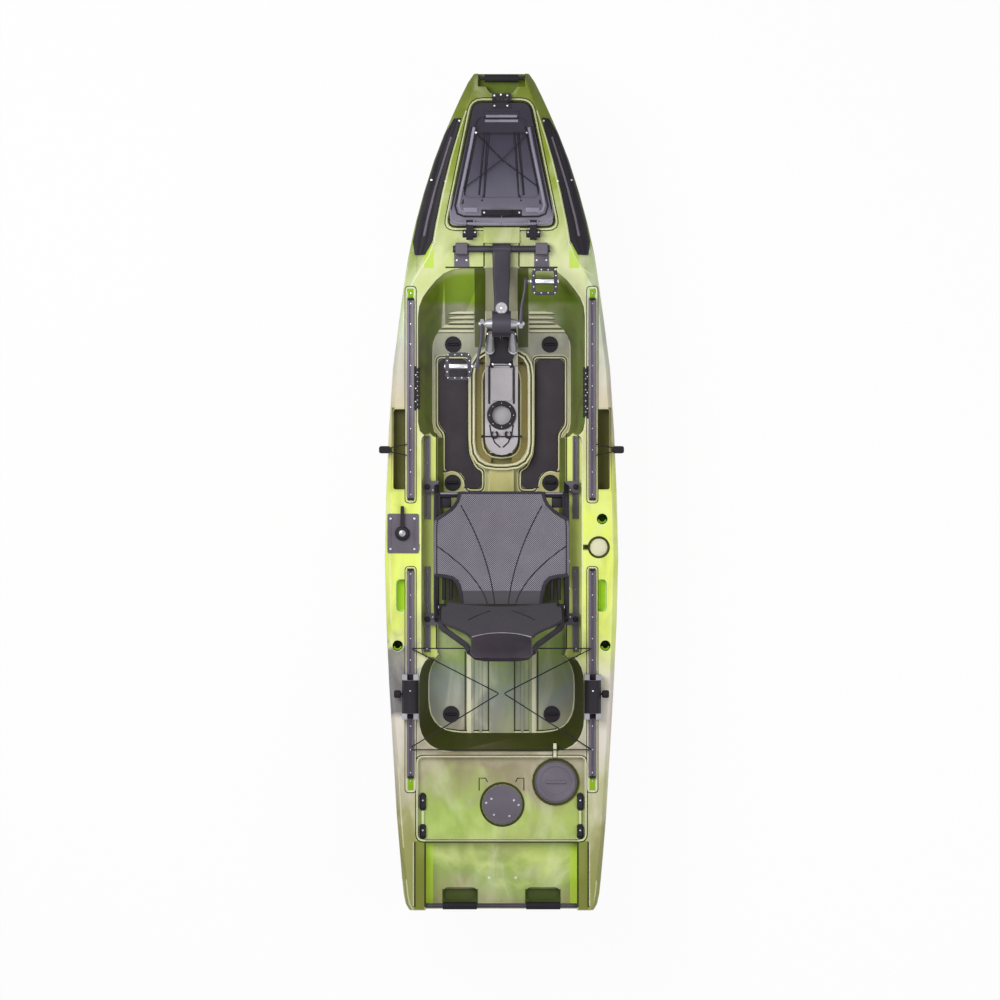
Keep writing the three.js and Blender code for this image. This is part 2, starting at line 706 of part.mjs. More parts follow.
function hingeLeaf() {
  const k = hinge;
  const reach = k.half - k.knuckle / 2 - gap;
  const low = hatch.top + gap;
  const knuckle = bar([-reach, 0, k.height], [reach, 0, k.height], k.radius);
  const plate = block(-reach, reach, k.leafBack, 0, low, low + k.leaf);
  const wide = block(-k.half, k.half, k.leafBack, k.wingFront, low, low + k.leaf);
  const pinHole = bar([-k.half, 0, k.height], [k.half, 0, k.height], around(k.pin));
  return onBowDeck(cut(join(knuckle, plate, wide), pinHole));
}
add("hatch_hinge_leaf", hingeLeaf(), "blackPlastic");

function latchBody(side) {
  const l = latch;
  const z = hatch.top + l.rise;
  const x = side * l.x;
  const tip = l.pivotY - l.reach;
  const barrel = bar([x - l.half, l.pivotY, z], [x + l.half, l.pivotY, z], l.radius, l.radius, l.sides);
  const outline = [
    [tip, z - l.armHalf], [l.pivotY, z - l.armHalf], [l.pivotY, z + l.armHalf],
    [tip + l.slopeRun, z + l.highTip], [tip, z + l.tipHalf],
  ];
  const lever = sideSlab(outline, l.armRound, x - l.half, x + l.half);
  const cross = block(
    x - l.grip, x + l.grip, l.pivotY - l.crossBack, l.pivotY - l.crossFront, z - l.crossLow, z + l.crossHigh,
  );
  return onBowDeck(join(barrel, lever, cross));
}
add("latch_left", latchBody(-1), "rubber");
add("latch_right", latchBody(1), "rubber");

// One elastic cord over the lid: two runs cross, and one joins their front ends.
const cordForm = { sides: 6, steps: 2, bendShare: 3 };
const cordThrough = (points, radius) =>
  tube(points, radius, radius * cordForm.bendShare, cordForm.sides, cordForm.steps);
const lidCord = {
  radius: 2.5, front: along(-142), frontX: 112, rear: along(-388), rearX: 176, middle: along(-256), split: 6,
  meetX: 8, restShare: 1.2, humpShare: 2.4,
};
function lidBungee() {
  const c = lidCord;
  const z = hatch.top + gap + c.radius * c.restShare;
  const hump = z + c.radius * c.humpShare;
  const route = [
    [-c.rearX, c.rear, z], [-c.meetX, c.middle - c.split, hump], [c.meetX, c.middle + c.split, hump],
    [c.frontX, c.front, z], [-c.frontX, c.front, z], [0, c.middle, z], [c.rearX, c.rear, z],
  ];
  return onBowDeck(cordThrough(route, c.radius));
}
add("lid_bungee", lidBungee(), "cord");

const lidHandle = { half: 88, y: along(1223), width: 26, thickness: 5, arch: 14, foot: 16, round: 1.5 };
function handleBody() {
  const l = lidHandle;
  const y = l.y - hatch.hingeY;
  const z = hatch.top + gap;
  const side = [
    [-l.half, z], [-l.half + l.foot * 2, z], [-l.half + l.foot * 3, z + l.arch - l.thickness],
    [l.half - l.foot * 3, z + l.arch - l.thickness], [l.half - l.foot * 2, z], [l.half, z],
    [l.half, z + l.thickness], [l.half - l.foot * 2, z + l.thickness], [l.half - l.foot * 3, z + l.arch],
    [-l.half + l.foot * 3, z + l.arch], [-l.half + l.foot * 2, z + l.thickness], [-l.half, z + l.thickness],
  ];
  return onBowDeck(frontSlab(side, l.round, y - l.width / 2, y + l.width / 2, 1));
}
add("lid_handle", handleBody(), "rubber");

// Bow grip, side panels, stern carry bar, side toggles.
const gripBar = {
  y: halfLength - 22, z: 408, radius: 7, gripRadius: 18, gripHalf: 74, plate: 5, plateHalf: 13, plateRise: 12,
};
function bowGrip() {
  const g = gripBar;
  const reach = bowNotch.half - gap;
  const rod = bar([-reach, g.y, g.z], [reach, g.y, g.z], g.radius);
  const grip = bar([-g.gripHalf, g.y, g.z], [g.gripHalf, g.y, g.z], g.gripRadius);
  const plates = [-1, 1].map((side) => {
    const inner = [side * (reach - g.plate), g.y - g.plateHalf, g.z - g.plateHalf];
    return box(inner, [side * reach, g.y + g.plateHalf, g.z + g.plateRise]);
  });
  return join(rod, grip, ...plates);
}
add("bow_grip", bowGrip(), "rubber");

const sidePanel = {
  front: halfLength - along(194), back: halfLength - along(788), thickness: 9, ribs: 3, ribHeight: 4,
  endTaper: 60,
  sunk: 6, edge: 6, lowShare: 0.04, highShare: 0.94, endLowShare: 0.3, endHighShare: 0.8, ribShare: 0.28,
  placeShares: [0.227, 0.465, 0.699],
  lowRow: 8,
};
function bowPanel() {
  const p = sidePanel;
  const inner = p.placeShares.map((share) => p.back + share * (p.front - p.back));
  const places = [p.back, p.back + p.endTaper, ...inner, p.front - p.endTaper, p.front];
  const rings = places.map((y) => {
    const section = halfSection(y, 0);
    const [low, high] = section.slice(p.lowRow, p.lowRow + 2).map((row) => new THREE.Vector2(...row));
    const out = new THREE.Vector2(high.y - low.y, low.x - high.x).normalize();
    const end = y === p.back || y === p.front;
    const start = end ? p.endLowShare : p.lowShare;
    const stop = end ? p.endHighShare : p.highShare;
    const at = (share, lift) => {
      const spot = low.clone().lerp(high, start + (stop - start) * share).addScaledVector(out, lift);
      return new THREE.Vector3(spot.x, y, spot.y);
    };
    const ring = [at(0, -p.sunk), at(1, -p.sunk), at(1, p.edge)];
    for (let r = p.ribs; r > 0; r--) {
      const middle = (r - 1 / 2) / p.ribs;
      const width = p.ribShare / p.ribs;
      ring.push(at(middle + width, p.thickness), at(middle, p.thickness + p.ribHeight),
        at(middle - width, p.thickness));
    }
    ring.push(at(0, p.edge));
    return ring;
  });
  return loft(rings);
}
add("bow_side_panel_right", seated(bowPanel()), "blackPlastic");
add("bow_side_panel_left", seated(mirrored(bowPanel())), "blackPlastic");

const carry = { y: 19 - halfLength, z: 300, radius: 10, gripRadius: 17, gripInner: 108, gripOuter: 258 };
function carryBar() {
  const c = carry;
  const reach = sternPanel.half - gap;
  const rod = bar([-reach, c.y, c.z], [reach, c.y, c.z], c.radius);
  const grip = (side) => bar([side * c.gripInner, c.y, c.z], [side * c.gripOuter, c.y, c.z], c.gripRadius);
  return join(rod, grip(-1), grip(1));
}
add("stern_carry_bar", carryBar(), "rubber");

const rail = { x: 398, half: 15, height: 14, slotHalf: 5, lipHalf: 9, lip: 4, floor: 3 };
const toggle = {
  y: along(188), clear: 73, length: 50, halfWidth: 16, cornerRadius: 10, halfHeight: 12, cordIn: 1,
  spread: 24,
  cord: 2.5, cordSides: 6, tie: 6, tieShare: 0.5, foot: 16, footShare: 0.6, rise: 14,
};
toggle.inner = rail.x + rail.half + toggle.clear;
function sideToggle() {
  const t = toggle;
  const z = sheerHeight + t.rise;
  const grip = rectangle(t.inner, t.inner + t.length, t.y - t.halfWidth, t.y + t.halfWidth);
  const body = slab(grip, t.cornerRadius, z - t.halfHeight, z + t.halfHeight);
  const cords = [-1, 1].map((side) => {
    const railEnd = [rail.x + rail.half + t.cordIn, t.y + side * t.spread, z];
    return bar(railEnd, [t.inner + t.tie, t.y + side * t.halfWidth * t.tieShare, z], t.cord, t.cord,
      t.cordSides);
  });
  const half = t.halfWidth * t.footShare;
  const foot = block(t.inner, t.inner + t.foot, t.y - half, t.y + half, sheerHeight - overrun, z);
  return join(seated(foot), body, ...cords);
}
const toggleRight = sideToggle();
add("side_toggle_right", toggleRight, "rubber");
add("side_toggle_left", mirrored(toggleRight), "rubber");

// Outer gear rails and seat rails.
// A rail's cross section has a T-shaped slot along its top.
function railBody(r, x, y0, y1, z) {
  const section = [
    [-r.half, 0], [r.half, 0], [r.half, r.height], [r.slotHalf, r.height], [r.slotHalf, r.height - r.lip],
    [r.lipHalf, r.height - r.lip], [r.lipHalf, r.floor], [-r.lipHalf, r.floor],
    [-r.lipHalf, r.height - r.lip],
    [-r.slotHalf, r.height - r.lip], [-r.slotHalf, r.height], [-r.half, r.height],
  ];
  const shape = new THREE.Shape(section.map(([a, b]) => new THREE.Vector2(a, b)));
  const geometry = new THREE.ExtrudeGeometry(shape, { depth: y1 - y0, bevelEnabled: false });
  return solid(placed(geometry, x, y1, z, Math.PI / 2));
}
const outerRails = [
  { end: "front", back: along(-23), front: along(842) },
  { end: "rear", back: along(-1240), front: along(-343) },
];
const seatRail = { x: 326, half: 13, height: 12, slotHalf: 5, lipHalf: 8, lip: 3, floor: 3 };
const seatRails = [
  { end: "front", back: along(-115), front: along(250) },
  { end: "rear", back: along(-702), front: along(-325) },
];
for (const [side, label] of [[-1, "left"], [1, "right"]]) {
  for (const r of outerRails) {
    const body = railBody(rail, side * rail.x, r.back, r.front, sheerHeight + gap);
    add("gear_rail_" + r.end + "_" + label, body, "blackMetal");
  }
  for (const r of seatRails) {
    const body = railBody(seatRail, side * seatRail.x, r.back, r.front, bay.ledge + gap);
    add("seat_rail_" + r.end + "_" + label, body, "blackMetal");
  }
}

// Crossbar and its clamps.
const crossbar = { y: along(1065), radius: 15, half: 213, rise: 26 };
crossbar.z = deckHeight(crossbar.y) + crossbar.rise;
// A fine round bar across the kayak at one place, as long to the left as to the right.
const crossRod = (half, y, z, radius) => bar([-half, y, z], [half, y, z], radius, radius, fineSides);
add("crossbar", crossRod(crossbar.half, crossbar.y, crossbar.z, crossbar.radius), "blackMetal");

const clamp = {
  x: 175, half: 26, baseHalf: 32, ahead: 27, behind: 77, neckBehind: 25, top: 9, baseRise: 10, round: 8,
};
function clampBody() {
  const c = clamp;
  const [front, back, neckBack] = [crossbar.y + c.ahead, crossbar.y - c.behind, crossbar.y - c.neckBehind];
  const low = sheerHeight - overrun;
  const base = block(c.x - c.baseHalf, c.x + c.baseHalf, back, front, low, deckHeight(back) + c.baseRise);
  const high = crossbar.z + crossbar.radius + c.top;
  const side = [[neckBack, low], [front, low], [front, high], [neckBack, high]];
  const head = sideSlab(side, c.round, c.x - c.half, c.x + c.half);
  const bore = crossRod(c.x * 2, crossbar.y, crossbar.z, around(crossbar.radius, fineSides));
  return seated(cut(join(base, head), bore));
}
const clampRight = clampBody();
add("bar_clamp_right", clampRight, "blackPlastic");
add("bar_clamp_left", mirrored(clampRight), "blackPlastic");

// Pedal drive.
const drive = {
  axleY: along(735),
  axleZ: axleHeight,
  rake: 6,
  legLength: 600,
  propOffset: 106,
  propRadius: 118,
  headRadius: 57,
  headHalf: 41,
  headWall: 5,
  axleRadius: 9,
  shaftRadius: 6,
  crankReach: 185,
};
// Turns a body from the leg's frame (origin on the crank axle, -Z down the leg) into the kayak's.
const onLeg = (body) => moved(body, [-drive.rake, 0, 0], [0, drive.axleY, drive.axleZ]);
const smallSides = 12;
// A round bar along the leg's own line.
const legRod = (low, high, radius, endRadius = radius, sides = roundSides) =>
  bar([0, 0, low], [0, 0, high], radius, endRadius, sides);

const arm = {
  half: 40, endHalf: 33, hubRadius: 25, hubShare: 1.6, thickness: 44, round: 12, hubRun: 4, neckRun: 90,
  neckRise: 12,
  neckShare: 0.97, tailRun: 70, tailDrop: 10, tailThick: 6, endThick: 14, endRun: 14,
  capRun: 67, capRadius: 25, capLow: 20, capHigh: 35,
};
function driveArm() {
  const a = arm;
  const endY = drive.axleY + drive.headRadius - a.endRun;
  const endZ = drive.axleZ;
  const hub = crossRod(a.half, crossbar.y, crossbar.z, a.hubRadius);
  const head = crossRod(a.half * 2, drive.axleY, endZ, drive.headRadius + 2 * gap);
  const ring = (y, z, half, thick) => {
    const outline = rounded(rectangle(-half, half, z - thick / 2, z + thick / 2), a.round, 2);
    return outline.map((p) => new THREE.Vector3(p.x, y, p.y));
  };
  const body = loft([
    ring(crossbar.y - a.hubRun, crossbar.z, a.half, a.hubRadius * a.hubShare),
    ring(crossbar.y - a.neckRun, crossbar.z + a.neckRise, a.half * a.neckShare, a.thickness),
    ring(endY + a.tailRun, endZ - a.tailDrop, a.endHalf, a.thickness + a.tailThick),
    ring(endY, endZ, a.endHalf, a.thickness + a.endThick),
  ]);
  const bore = crossRod(a.half + tiny, crossbar.y, crossbar.z, around(crossbar.radius, fineSides));
  const cap = disc(0, drive.axleY + a.capRun, a.capRadius, endZ + a.capLow, endZ + a.capHigh);
  return cut(join(hub, body, cap), bore, head);
}
add("drive_arm", driveArm(), "blackMetal");

const head = {
  bossEnd: 68, bossRadius: 24, bossEndRadius: 18, neckTop: 8, neckEnd: -110, neckRadius: 30,
  neckEndRadius: 24,
  boreHalf: 80, shaftBore: 9, shaftBoreEnd: -120,
};
function driveHead() {
  const d = drive;
  const h = head;
  const across = (from, to, radius, endRadius = radius, sides = roundSides) =>
    bar([from, 0, 0], [to, 0, 0], radius, endRadius, sides);
  const drum = (half, radius) => across(-half, half, radius, radius, fineSides);
  const shell = drum(d.headHalf, d.headRadius);
  const boss = (side) => across(side * d.headHalf, side * h.bossEnd, h.bossRadius, h.bossEndRadius);
  const neck = legRod(-d.headRadius + h.neckTop, h.neckEnd, h.neckRadius, h.neckEndRadius);
  const inside = drum(d.headHalf - d.headWall, d.headRadius - d.headWall);
  const bore = across(-h.boreHalf, h.boreHalf, around(d.axleRadius));
  const shaftBore = legRod(0, h.shaftBoreEnd, h.shaftBore);
  return onLeg(cut(join(shell, boss(-1), boss(1), neck), inside, bore, shaftBore));
}
add("drive_head", driveHead(), "blackMetal");

// A straight bevel gear about +Z with its apex at the origin: teeth that taper to the apex.
// A tooth's corners: shares of its pitch along the rim, and of the module up from the pitch line.
const toothShares = [[-0.3, -1.15], [-0.1, 0.6], [0.1, 0.6], [0.3, -1.15]];
function bevelGear(teeth, mate, module, face) {
  const pitch = (teeth * module) / 2;
  const cone = Math.atan2(teeth, mate);
  const apexDistance = pitch / Math.sin(cone);
  const ring = (scale) => {
    const points = [];
    for (let t = 0; t < teeth; t++)
      for (const [share, lift] of toothShares) {
        const angle = ((t + share) / teeth) * 2 * Math.PI;
        const out = pitch + lift * module * Math.cos(cone);
        const up = pitch / Math.tan(cone) - lift * module * Math.sin(cone);
        points.push(new THREE.Vector3(out * Math.cos(angle), out * Math.sin(angle),
          up).multiplyScalar(scale));
      }
    return points;
  };
  const scale = 1 - face / apexDistance;
  return loft([ring(scale), ring(1)]);
}

const gears = { wheel: 24, pinion: 8, module: 3.1, face: 12, lowWheel: 24, lowPinion: 8, lowModule: 1.5,
  lowFace: 9 };

const axle = { half: 84, hubFrom: 8, hubTo: 30, hubRadius: 20, hubEndRadius: 24 };
const quarterTurn = 90;
const halfTurn = 180;
function crankAxle() {
  const a = axle;
  const shaft = bar([-a.half, 0, 0], [a.half, 0, 0], drive.axleRadius);
  const wheel = bevelGear(gears.wheel, gears.pinion, gears.module, gears.face);
  const turnedWheel = moved(wheel, [0, quarterTurn, 0]);
  const hub = bar([a.hubFrom, 0, 0], [a.hubTo, 0, 0], a.hubRadius, a.hubEndRadius);
  return onLeg(join(shaft, turnedWheel, hub));
}
add("crank_axle", crankAxle(), "steel");

const shaftForm = {
  top: -24, endRun: 8, hubLow: 7, hubHigh: 20, hubRadius: 14, hubEndRadius: 10, neckTop: -26, neckEnd: -44,
  neckRadius: 7,
};
function driveShaft() {
  const s = shaftForm;
  const g = gears;
  const low = -drive.legLength;
  const shaft = legRod(s.top, low + s.endRun, drive.shaftRadius, drive.shaftRadius, smallSides);
  const pinion = moved(bevelGear(g.pinion, g.wheel, g.module, g.face), [halfTurn, 0, halfTurn / g.pinion]);
  const wheel = moved(bevelGear(g.lowWheel, g.lowPinion, g.lowModule, g.lowFace), [0, 0, 0], [0, 0, low]);
  const hub = legRod(low + s.hubLow, low + s.hubHigh, s.hubRadius, s.hubEndRadius, smallSides);
  const neck = legRod(s.neckTop, s.neckEnd, s.neckRadius, s.neckRadius, smallSides);
  return onLeg(join(shaft, pinion, wheel, hub, neck));
}
add("drive_shaft", driveShaft(), "steel");

const crank = {
  inner: 74, hubEnd: 94, hubRadius: 17, spindleFrom: 106, spindleTo: 238, spindleRadius: 6.5, boreRun: 8,
  round: 5,
  // share of the arm's length, a run past it, place across, half height, thickness
  rows: [
    [0, -20, 84, 12, 16], [0, 0, 84, 17, 18], [0.4, 0, 88, 14, 14],
    [0.8, 0, 102, 13, 13], [1, 0, 106, 14, 16], [1, 16, 106, 9, 12],
  ],
};
function crankArm(side) {
  const d = drive;
  const c = crank;
  const reach = d.crankReach * side;
  const y = d.axleY + reach;
  const z = d.axleZ;
  const across = (from, to, py, radius, sides = roundSides) =>
    bar([side * from, py, z], [side * to, py, z], radius, radius, sides);
  const stations = c.rows.map(([share, run, px, half, thick]) => {
    const outline = rounded(rectangle(px - thick / 2, px + thick / 2, z - half, z + half), c.round, 2);
    return outline.map((p) => new THREE.Vector3(side * p.x, d.axleY + reach * share + side * run, p.y));
  });
  const hub = across(c.inner, c.hubEnd, d.axleY, c.hubRadius);
  const spindle = across(c.spindleFrom, c.spindleTo, y, c.spindleRadius, smallSides);
  const bore = across(c.inner - c.boreRun, axle.half + gap, d.axleY, around(d.axleRadius));
  return cut(join(loft(stations), hub, spindle), bore);
}
add("crank_left", crankArm(-1), "blackMetal");
add("crank_right", crankArm(1), "blackMetal");

const pedal = {
  inner: 132, outer: 244, half: 60, thickness: 22, barHalf: 13, corner: 14, cornerRun: 18, round: 6,
  frameAcross: 16, frameAlong: 14, windowRound: 5, boreFrom: 120, boreEnd: 240,
};
function pedalBody(side) {
  const p = pedal;
  const y = drive.axleY + side * drive.crankReach;
  const z = drive.axleZ;
  const x0 = side > 0 ? p.inner : -p.outer;
  const x1 = side > 0 ? p.outer : -p.inner;
  const [in0, in1] = [x0 + p.cornerRun, x1 - p.cornerRun];
  const outline = [
    [x0, y - p.half + p.corner], [in0, y - p.half], [in1, y - p.half], [x1, y - p.half + p.corner],
    [x1, y + p.half - p.corner], [in1, y + p.half], [in0, y + p.half], [x0, y + p.half - p.corner],
  ];
  let body = slab(outline, p.round, z - p.thickness / 2, z + p.thickness / 2, 1);
  for (const end of [-1, 1]) {
    const ends = [y + end * p.barHalf, y + end * (p.half - p.frameAlong)];
    const window = rectangle(x0 + p.frameAcross, x1 - p.frameAcross, Math.min(...ends), Math.max(...ends));
    body = cut(body, slab(window, p.windowRound, z - p.thickness, z + p.thickness, 1));
  }
  const bore = around(crank.spindleRadius, smallSides);
  return cut(body, bar([side * p.boreFrom, y, z], [side * (p.boreEnd + gap), y, z], bore, bore, smallSides));
}
add("pedal_left", pedalBody(-1), "blackPlastic");
add("pedal_right", pedalBody(1), "blackPlastic");

// The leg's section is a strut: round in front, thin behind.
const strutShares = [[-0.5, 0.06], [-0.2, 0.36], [0.15, 0.5], [0.4, 0.32], [0.5, 0]];
function strutRing(z, chord, thick) {
  const right = strutShares.map(([place, across]) => [across * thick, place * chord]);
  const left = strutShares.slice(0, -1).reverse().map(([place, across]) => [-across * thick, place * chord]);
  return [...right, ...left].map(([px, py]) => new THREE.Vector3(px, py, z));
}
const leg = {
  top: -111, bottom: -562, chord: 66, thick: 40, footShare: 0.8, ankleShare: 0.85, ankle: 90, kneeRun: 120,
  kneeShare: 1.2, boreOver: 10,
};
const shaftBore = around(drive.shaftRadius, smallSides);
function driveLeg() {
  const l = leg;
  const rings = [
    strutRing(l.bottom, l.chord * l.footShare, l.thick * l.footShare),
    strutRing(l.bottom + l.ankle, l.chord * l.ankleShare, l.thick * l.ankleShare),
    strutRing(l.top - l.kneeRun, l.chord, l.thick), strutRing(l.top, l.chord, l.thick * l.kneeShare),
  ];
  const bore = legRod(l.top + l.boreOver, l.bottom - l.boreOver, shaftBore, shaftBore, smallSides);
  return onLeg(cut(loft(rings), bore));
}
add("drive_leg", driveLeg(), "blackMetal");

const flange = {
  frontRun: 7, backRun: -163, half: 74, backHalf: 46, z: island.top + gap, thickness: 10, shoulder: 74,
  frontShare: 0.8,
  round: 20, coneX: 52, coneTopX: 46, coneRun: -105, coneTopRun: -31, coneLow: 20, coneHigh: 74,
  coneRadius: 21,
  coneTopRadius: 12, footHigh: 26, footRadius: 23, footTopRadius: 21, passageAlong: 1, passageAcross: 3,
  passageLow: -480, passageHigh: -100,
};
function legFlange() {
  const f = flange;
  const [front, back] = [drive.axleY + f.frontRun, drive.axleY + f.backRun];
  const middle = front - f.shoulder;
  const outline = [
    [-f.backHalf, back], [f.backHalf, back], [f.half, middle], [f.half * f.frontShare, front],
    [-f.half * f.frontShare, front], [-f.half, middle],
  ];
  const plate = slab(outline, f.round, f.z, f.z + f.thickness, 2);
  const [coneY, topY] = [drive.axleY + f.coneRun, drive.axleY + f.coneTopRun];
  const cones = [-1, 1].map((side) => {
    const foot = [side * f.coneX, coneY, f.z + f.coneLow];
    return bar(foot, [side * f.coneTopX, topY, f.z + f.coneHigh], f.coneRadius, f.coneTopRadius);
  });
  const feet = [-1, 1].map((side) => {
    const [low, high] = [f.z + f.thickness / 2, f.z + f.footHigh];
    return bar([side * f.coneX, coneY, low], [side * f.coneX, coneY, high], f.footRadius, f.footTopRadius);
  });
  const clear = 2 * gap;
  const section = (z) => strutRing(z, leg.chord + clear + f.passageAlong,
    leg.thick + clear + f.passageAcross);
  const passage = onLeg(loft([section(f.passageLow), section(f.passageHigh)]));
  return cut(join(plate, ...cones, ...feet), passage);
}
add("leg_flange", legFlange(), "blackPlastic");

const casing = {
  profile: [[0, -92], [10, -88], [22, -72], [30, -44], [33, 0], [31, 40], [25, 80], [22, 96], [0, 96]],
  hollow: [[0, -26], [24, -26], [24, 30], [16, 40], [16, 84], [0, 84]],
  collarRadius: 22, collarTop: 18, shaftRun: 60, propRun: -120,
};
function gearcase() {
  const c = casing;
  const low = -drive.legLength;
  const lathe = (profile, sides) => moved(turned(profile, sides), [-quarterTurn, 0, 0], [0, 0, low]);
  const torpedo = lathe(c.profile, fineSides);
  const inside = lathe(c.hollow, roundSides);
  const collar = legRod(low, leg.bottom - gap, c.collarRadius, c.collarTop);
  const shaftHole = legRod(low, low + c.shaftRun, shaftBore, shaftBore, smallSides);
  const propHole = bar([0, 0, low], [0, c.propRun, low], around(drive.shaftRadius));
  return onLeg(cut(join(torpedo, collar), inside, shaftHole, propHole));
}
add("gearcase", gearcase(), "blackMetal");

const propRod = { from: -20, to: -134, neckFrom: -16, neckTo: -24, neckRadius: 3, neckSides: 8 };
function propShaft() {
  const g = gears;
  const p = propRod;
  const low = -drive.legLength;
  const gear = bevelGear(g.lowPinion, g.lowWheel, g.lowModule, g.lowFace);
  const pinion = moved(gear, [quarterTurn, halfTurn / g.lowPinion, 0], [0, 0, low]);
  const shaft = bar([0, p.from, low], [0, p.to, low], drive.shaftRadius);
  const neck = bar([0, p.neckFrom, low], [0, p.neckTo, low], p.neckRadius, p.neckRadius, p.neckSides);
  return onLeg(join(shaft, neck, pinion));
}
add("prop_shaft", propShaft(), "steel");

const propeller = {
  hub: 20, sections: 6, rootChord: 34, midChord: 62, tipChord: 22, rootPitch: 52, tipPitch: 20, thickness: 7,
  behind: 12,
  hubProfile: [[0, -20], [10, -18], [17, -8], [20, 4], [20, 16], [0, 16]],
  rootShare: 0.6, bulgeShare: 1.05, waveShare: 0.9, tipFrom: 0.9, tipShare: 0.6, thinShare: 0.7, sweep: -14,
  boreHalf: 30,
  // a blade's section: shares of its chord and of its thickness
  sectionShares: [[-0.5, 0], [-0.2, 0.4], [0.2, 0.5], [0.5, 0], [0.2, -0.3], [-0.2, -0.25]],
};
function propellerBody() {
  const p = propeller;
  const at = -drive.propOffset - p.behind;
  const hub = moved(turned(p.hubProfile, roundSides), [-quarterTurn, 0, 0], [0, at, 0]);
  const root = p.hub * p.rootShare;
  const blade = (turn) => {
    const rings = [];
    for (let s = 0; s <= p.sections; s++) {
      const share = s / p.sections;
      const radius = root + (drive.propRadius - root) * share;
      const wave = Math.sin(Math.PI * Math.min(share * p.bulgeShare, 1) * p.waveShare);
      const tip = share > p.tipFrom ? p.tipChord * p.tipShare : 0;
      const chord = p.rootChord + (p.midChord - p.rootChord) * wave - tip;
      const pitch = (p.rootPitch + (p.tipPitch - p.rootPitch) * share) * degree;
      const thick = p.thickness * (1 - p.thinShare * share);
      const sweep = p.sweep * share * share;
      rings.push(
        p.sectionShares.map(([place, across]) => {
          const a = place * chord + sweep;
          const b = across * thick;
          const out = a * Math.sin(pitch) + b * Math.cos(pitch);
          return new THREE.Vector3(a * Math.cos(pitch) - b * Math.sin(pitch), -out, radius);
        }),
      );
    }
    return moved(loft(rings), [0, turn, 0], [0, at, 0]);
  };
  const bore = bar([0, at - p.boreHalf, 0], [0, at + p.boreHalf, 0], around(drive.shaftRadius));
  const body = cut(join(hub, blade(0), blade(halfTurn)), bore);
  return onLeg(moved(body, [0, 0, 0], [0, 0, -drive.legLength]));
}
add("propeller", propellerBody(), "blackPlastic");

// Well cover.
const cover = {
  front: along(560), back: along(166), half: 72.7, bottom: surround.ledge + gap, top: 186, skin: 5,
  cupY: along(342),
  cupHole: 47, tailSteps: 10, panelHalf: 47, panelBack: along(406), panelFront: along(550), panelRound: 12,
  panelRise: 6,
  lugHalf: 24, lugRadius: 10, lugBehind: 9, lugAhead: 12, pinRun: 60,
  grooveTip: 18, grooveRun: 66, grooveHalf: 14, grooveDepth: 2.5, grooveFlare: 4,
};
function coverOutline(inset) {
  const c = cover;
  const points = [[c.half - inset, c.front - inset], [-c.half + inset, c.front - inset]];
  const radius = c.half - inset;
  const centreY = c.back + c.half;
  for (let i = 0; i <= c.tailSteps; i++) {
    const angle = Math.PI + (i / c.tailSteps) * Math.PI;
    points.push([radius * Math.cos(angle), centreY + radius * Math.sin(angle)]);
  }
  return points.map(([x, y]) => new THREE.Vector2(x, y));
}
function wellCover() {
  const c = cover;
  const pin = coverPin;
  const prism = (inset, z0, z1) => loft([ringAt(coverOutline(inset), z0), ringAt(coverOutline(inset), z1)]);
  let body = cut(prism(0, c.bottom, c.top), prism(c.skin, c.bottom - overrun, c.top - c.skin));
  const panel = rectangle(-c.panelHalf, c.panelHalf, c.panelBack, c.panelFront);
  body = join(body, slab(panel, c.panelRound, c.top - tiny, c.top + c.panelRise, 2));
  body = cut(body, disc(0, c.cupY, c.cupHole + gap, c.bottom - overrun, c.top + overrun));
  const lug = join(
    bar([-c.lugHalf, pin.y, pin.z], [c.lugHalf, pin.y, pin.z], c.lugRadius, c.lugRadius, smallSides),
    block(-c.lugHalf, c.lugHalf, pin.y - c.lugBehind, pin.y + c.lugAhead, pin.z, c.top - tiny),
  );
  body = join(body, lug);
  const tip = pin.y + c.grooveTip;
  const wedge = (more, z) => {
    const [half, end] = [c.grooveHalf + more, tip + c.grooveRun + more];
    return [[0, tip - more], [half, end], [-half, end]].map(([x, y]) => new THREE.Vector3(x, y, z));
  };
  const groove = loft([wedge(0, c.top - c.grooveDepth), wedge(c.grooveFlare, c.top + tiny)]);
  return cut(body, groove, bar([-c.pinRun, pin.y, pin.z], [c.pinRun, pin.y, pin.z], around(pin.radius)));
}
add("well_cover", wellCover(), "greyPlastic");
const cup = { deep: -26, floor: -22, inner: 42, step: 44, edge: 58, flange: 64, stepHigh: 11, high: 8 };
const cupOuter = cover.cupHole - gap;
const coverCup = turned(
  [
    [0, cup.deep], [cupOuter, cup.deep], [cupOuter, gap], [cup.flange, gap], [cup.flange, cup.high],
    [cup.edge, cup.stepHigh], [cup.step, cup.stepHigh], [cup.inner, cup.high], [cup.inner, cup.floor],
    [0, cup.floor],
  ],
  fineSides,
);
add("cover_cup", moved(coverCup, [0, 0, 0], [0, cover.cupY, cover.top]), "blackPlastic");
const pinReach = slot.half + wall - gap;
const pinEnds = [-pinReach, pinReach].map((x) => [x, coverPin.y, coverPin.z]);
add("cover_hinge_pin", bar(...pinEnds, coverPin.radius), "steel");
const hook = {
  y: along(248), rise: 4, rodHalf: 84, rodRadius: 3, knobFrom: 80, knobTo: 90, knobRadius: 6, sides: 8,
  x: 31, ahead: 8,
  radius: 17, low: 4, high: 5, hole: 9, holeSides: 10, mouthHalf: 6, mouthRun: 40, over: 10,
};
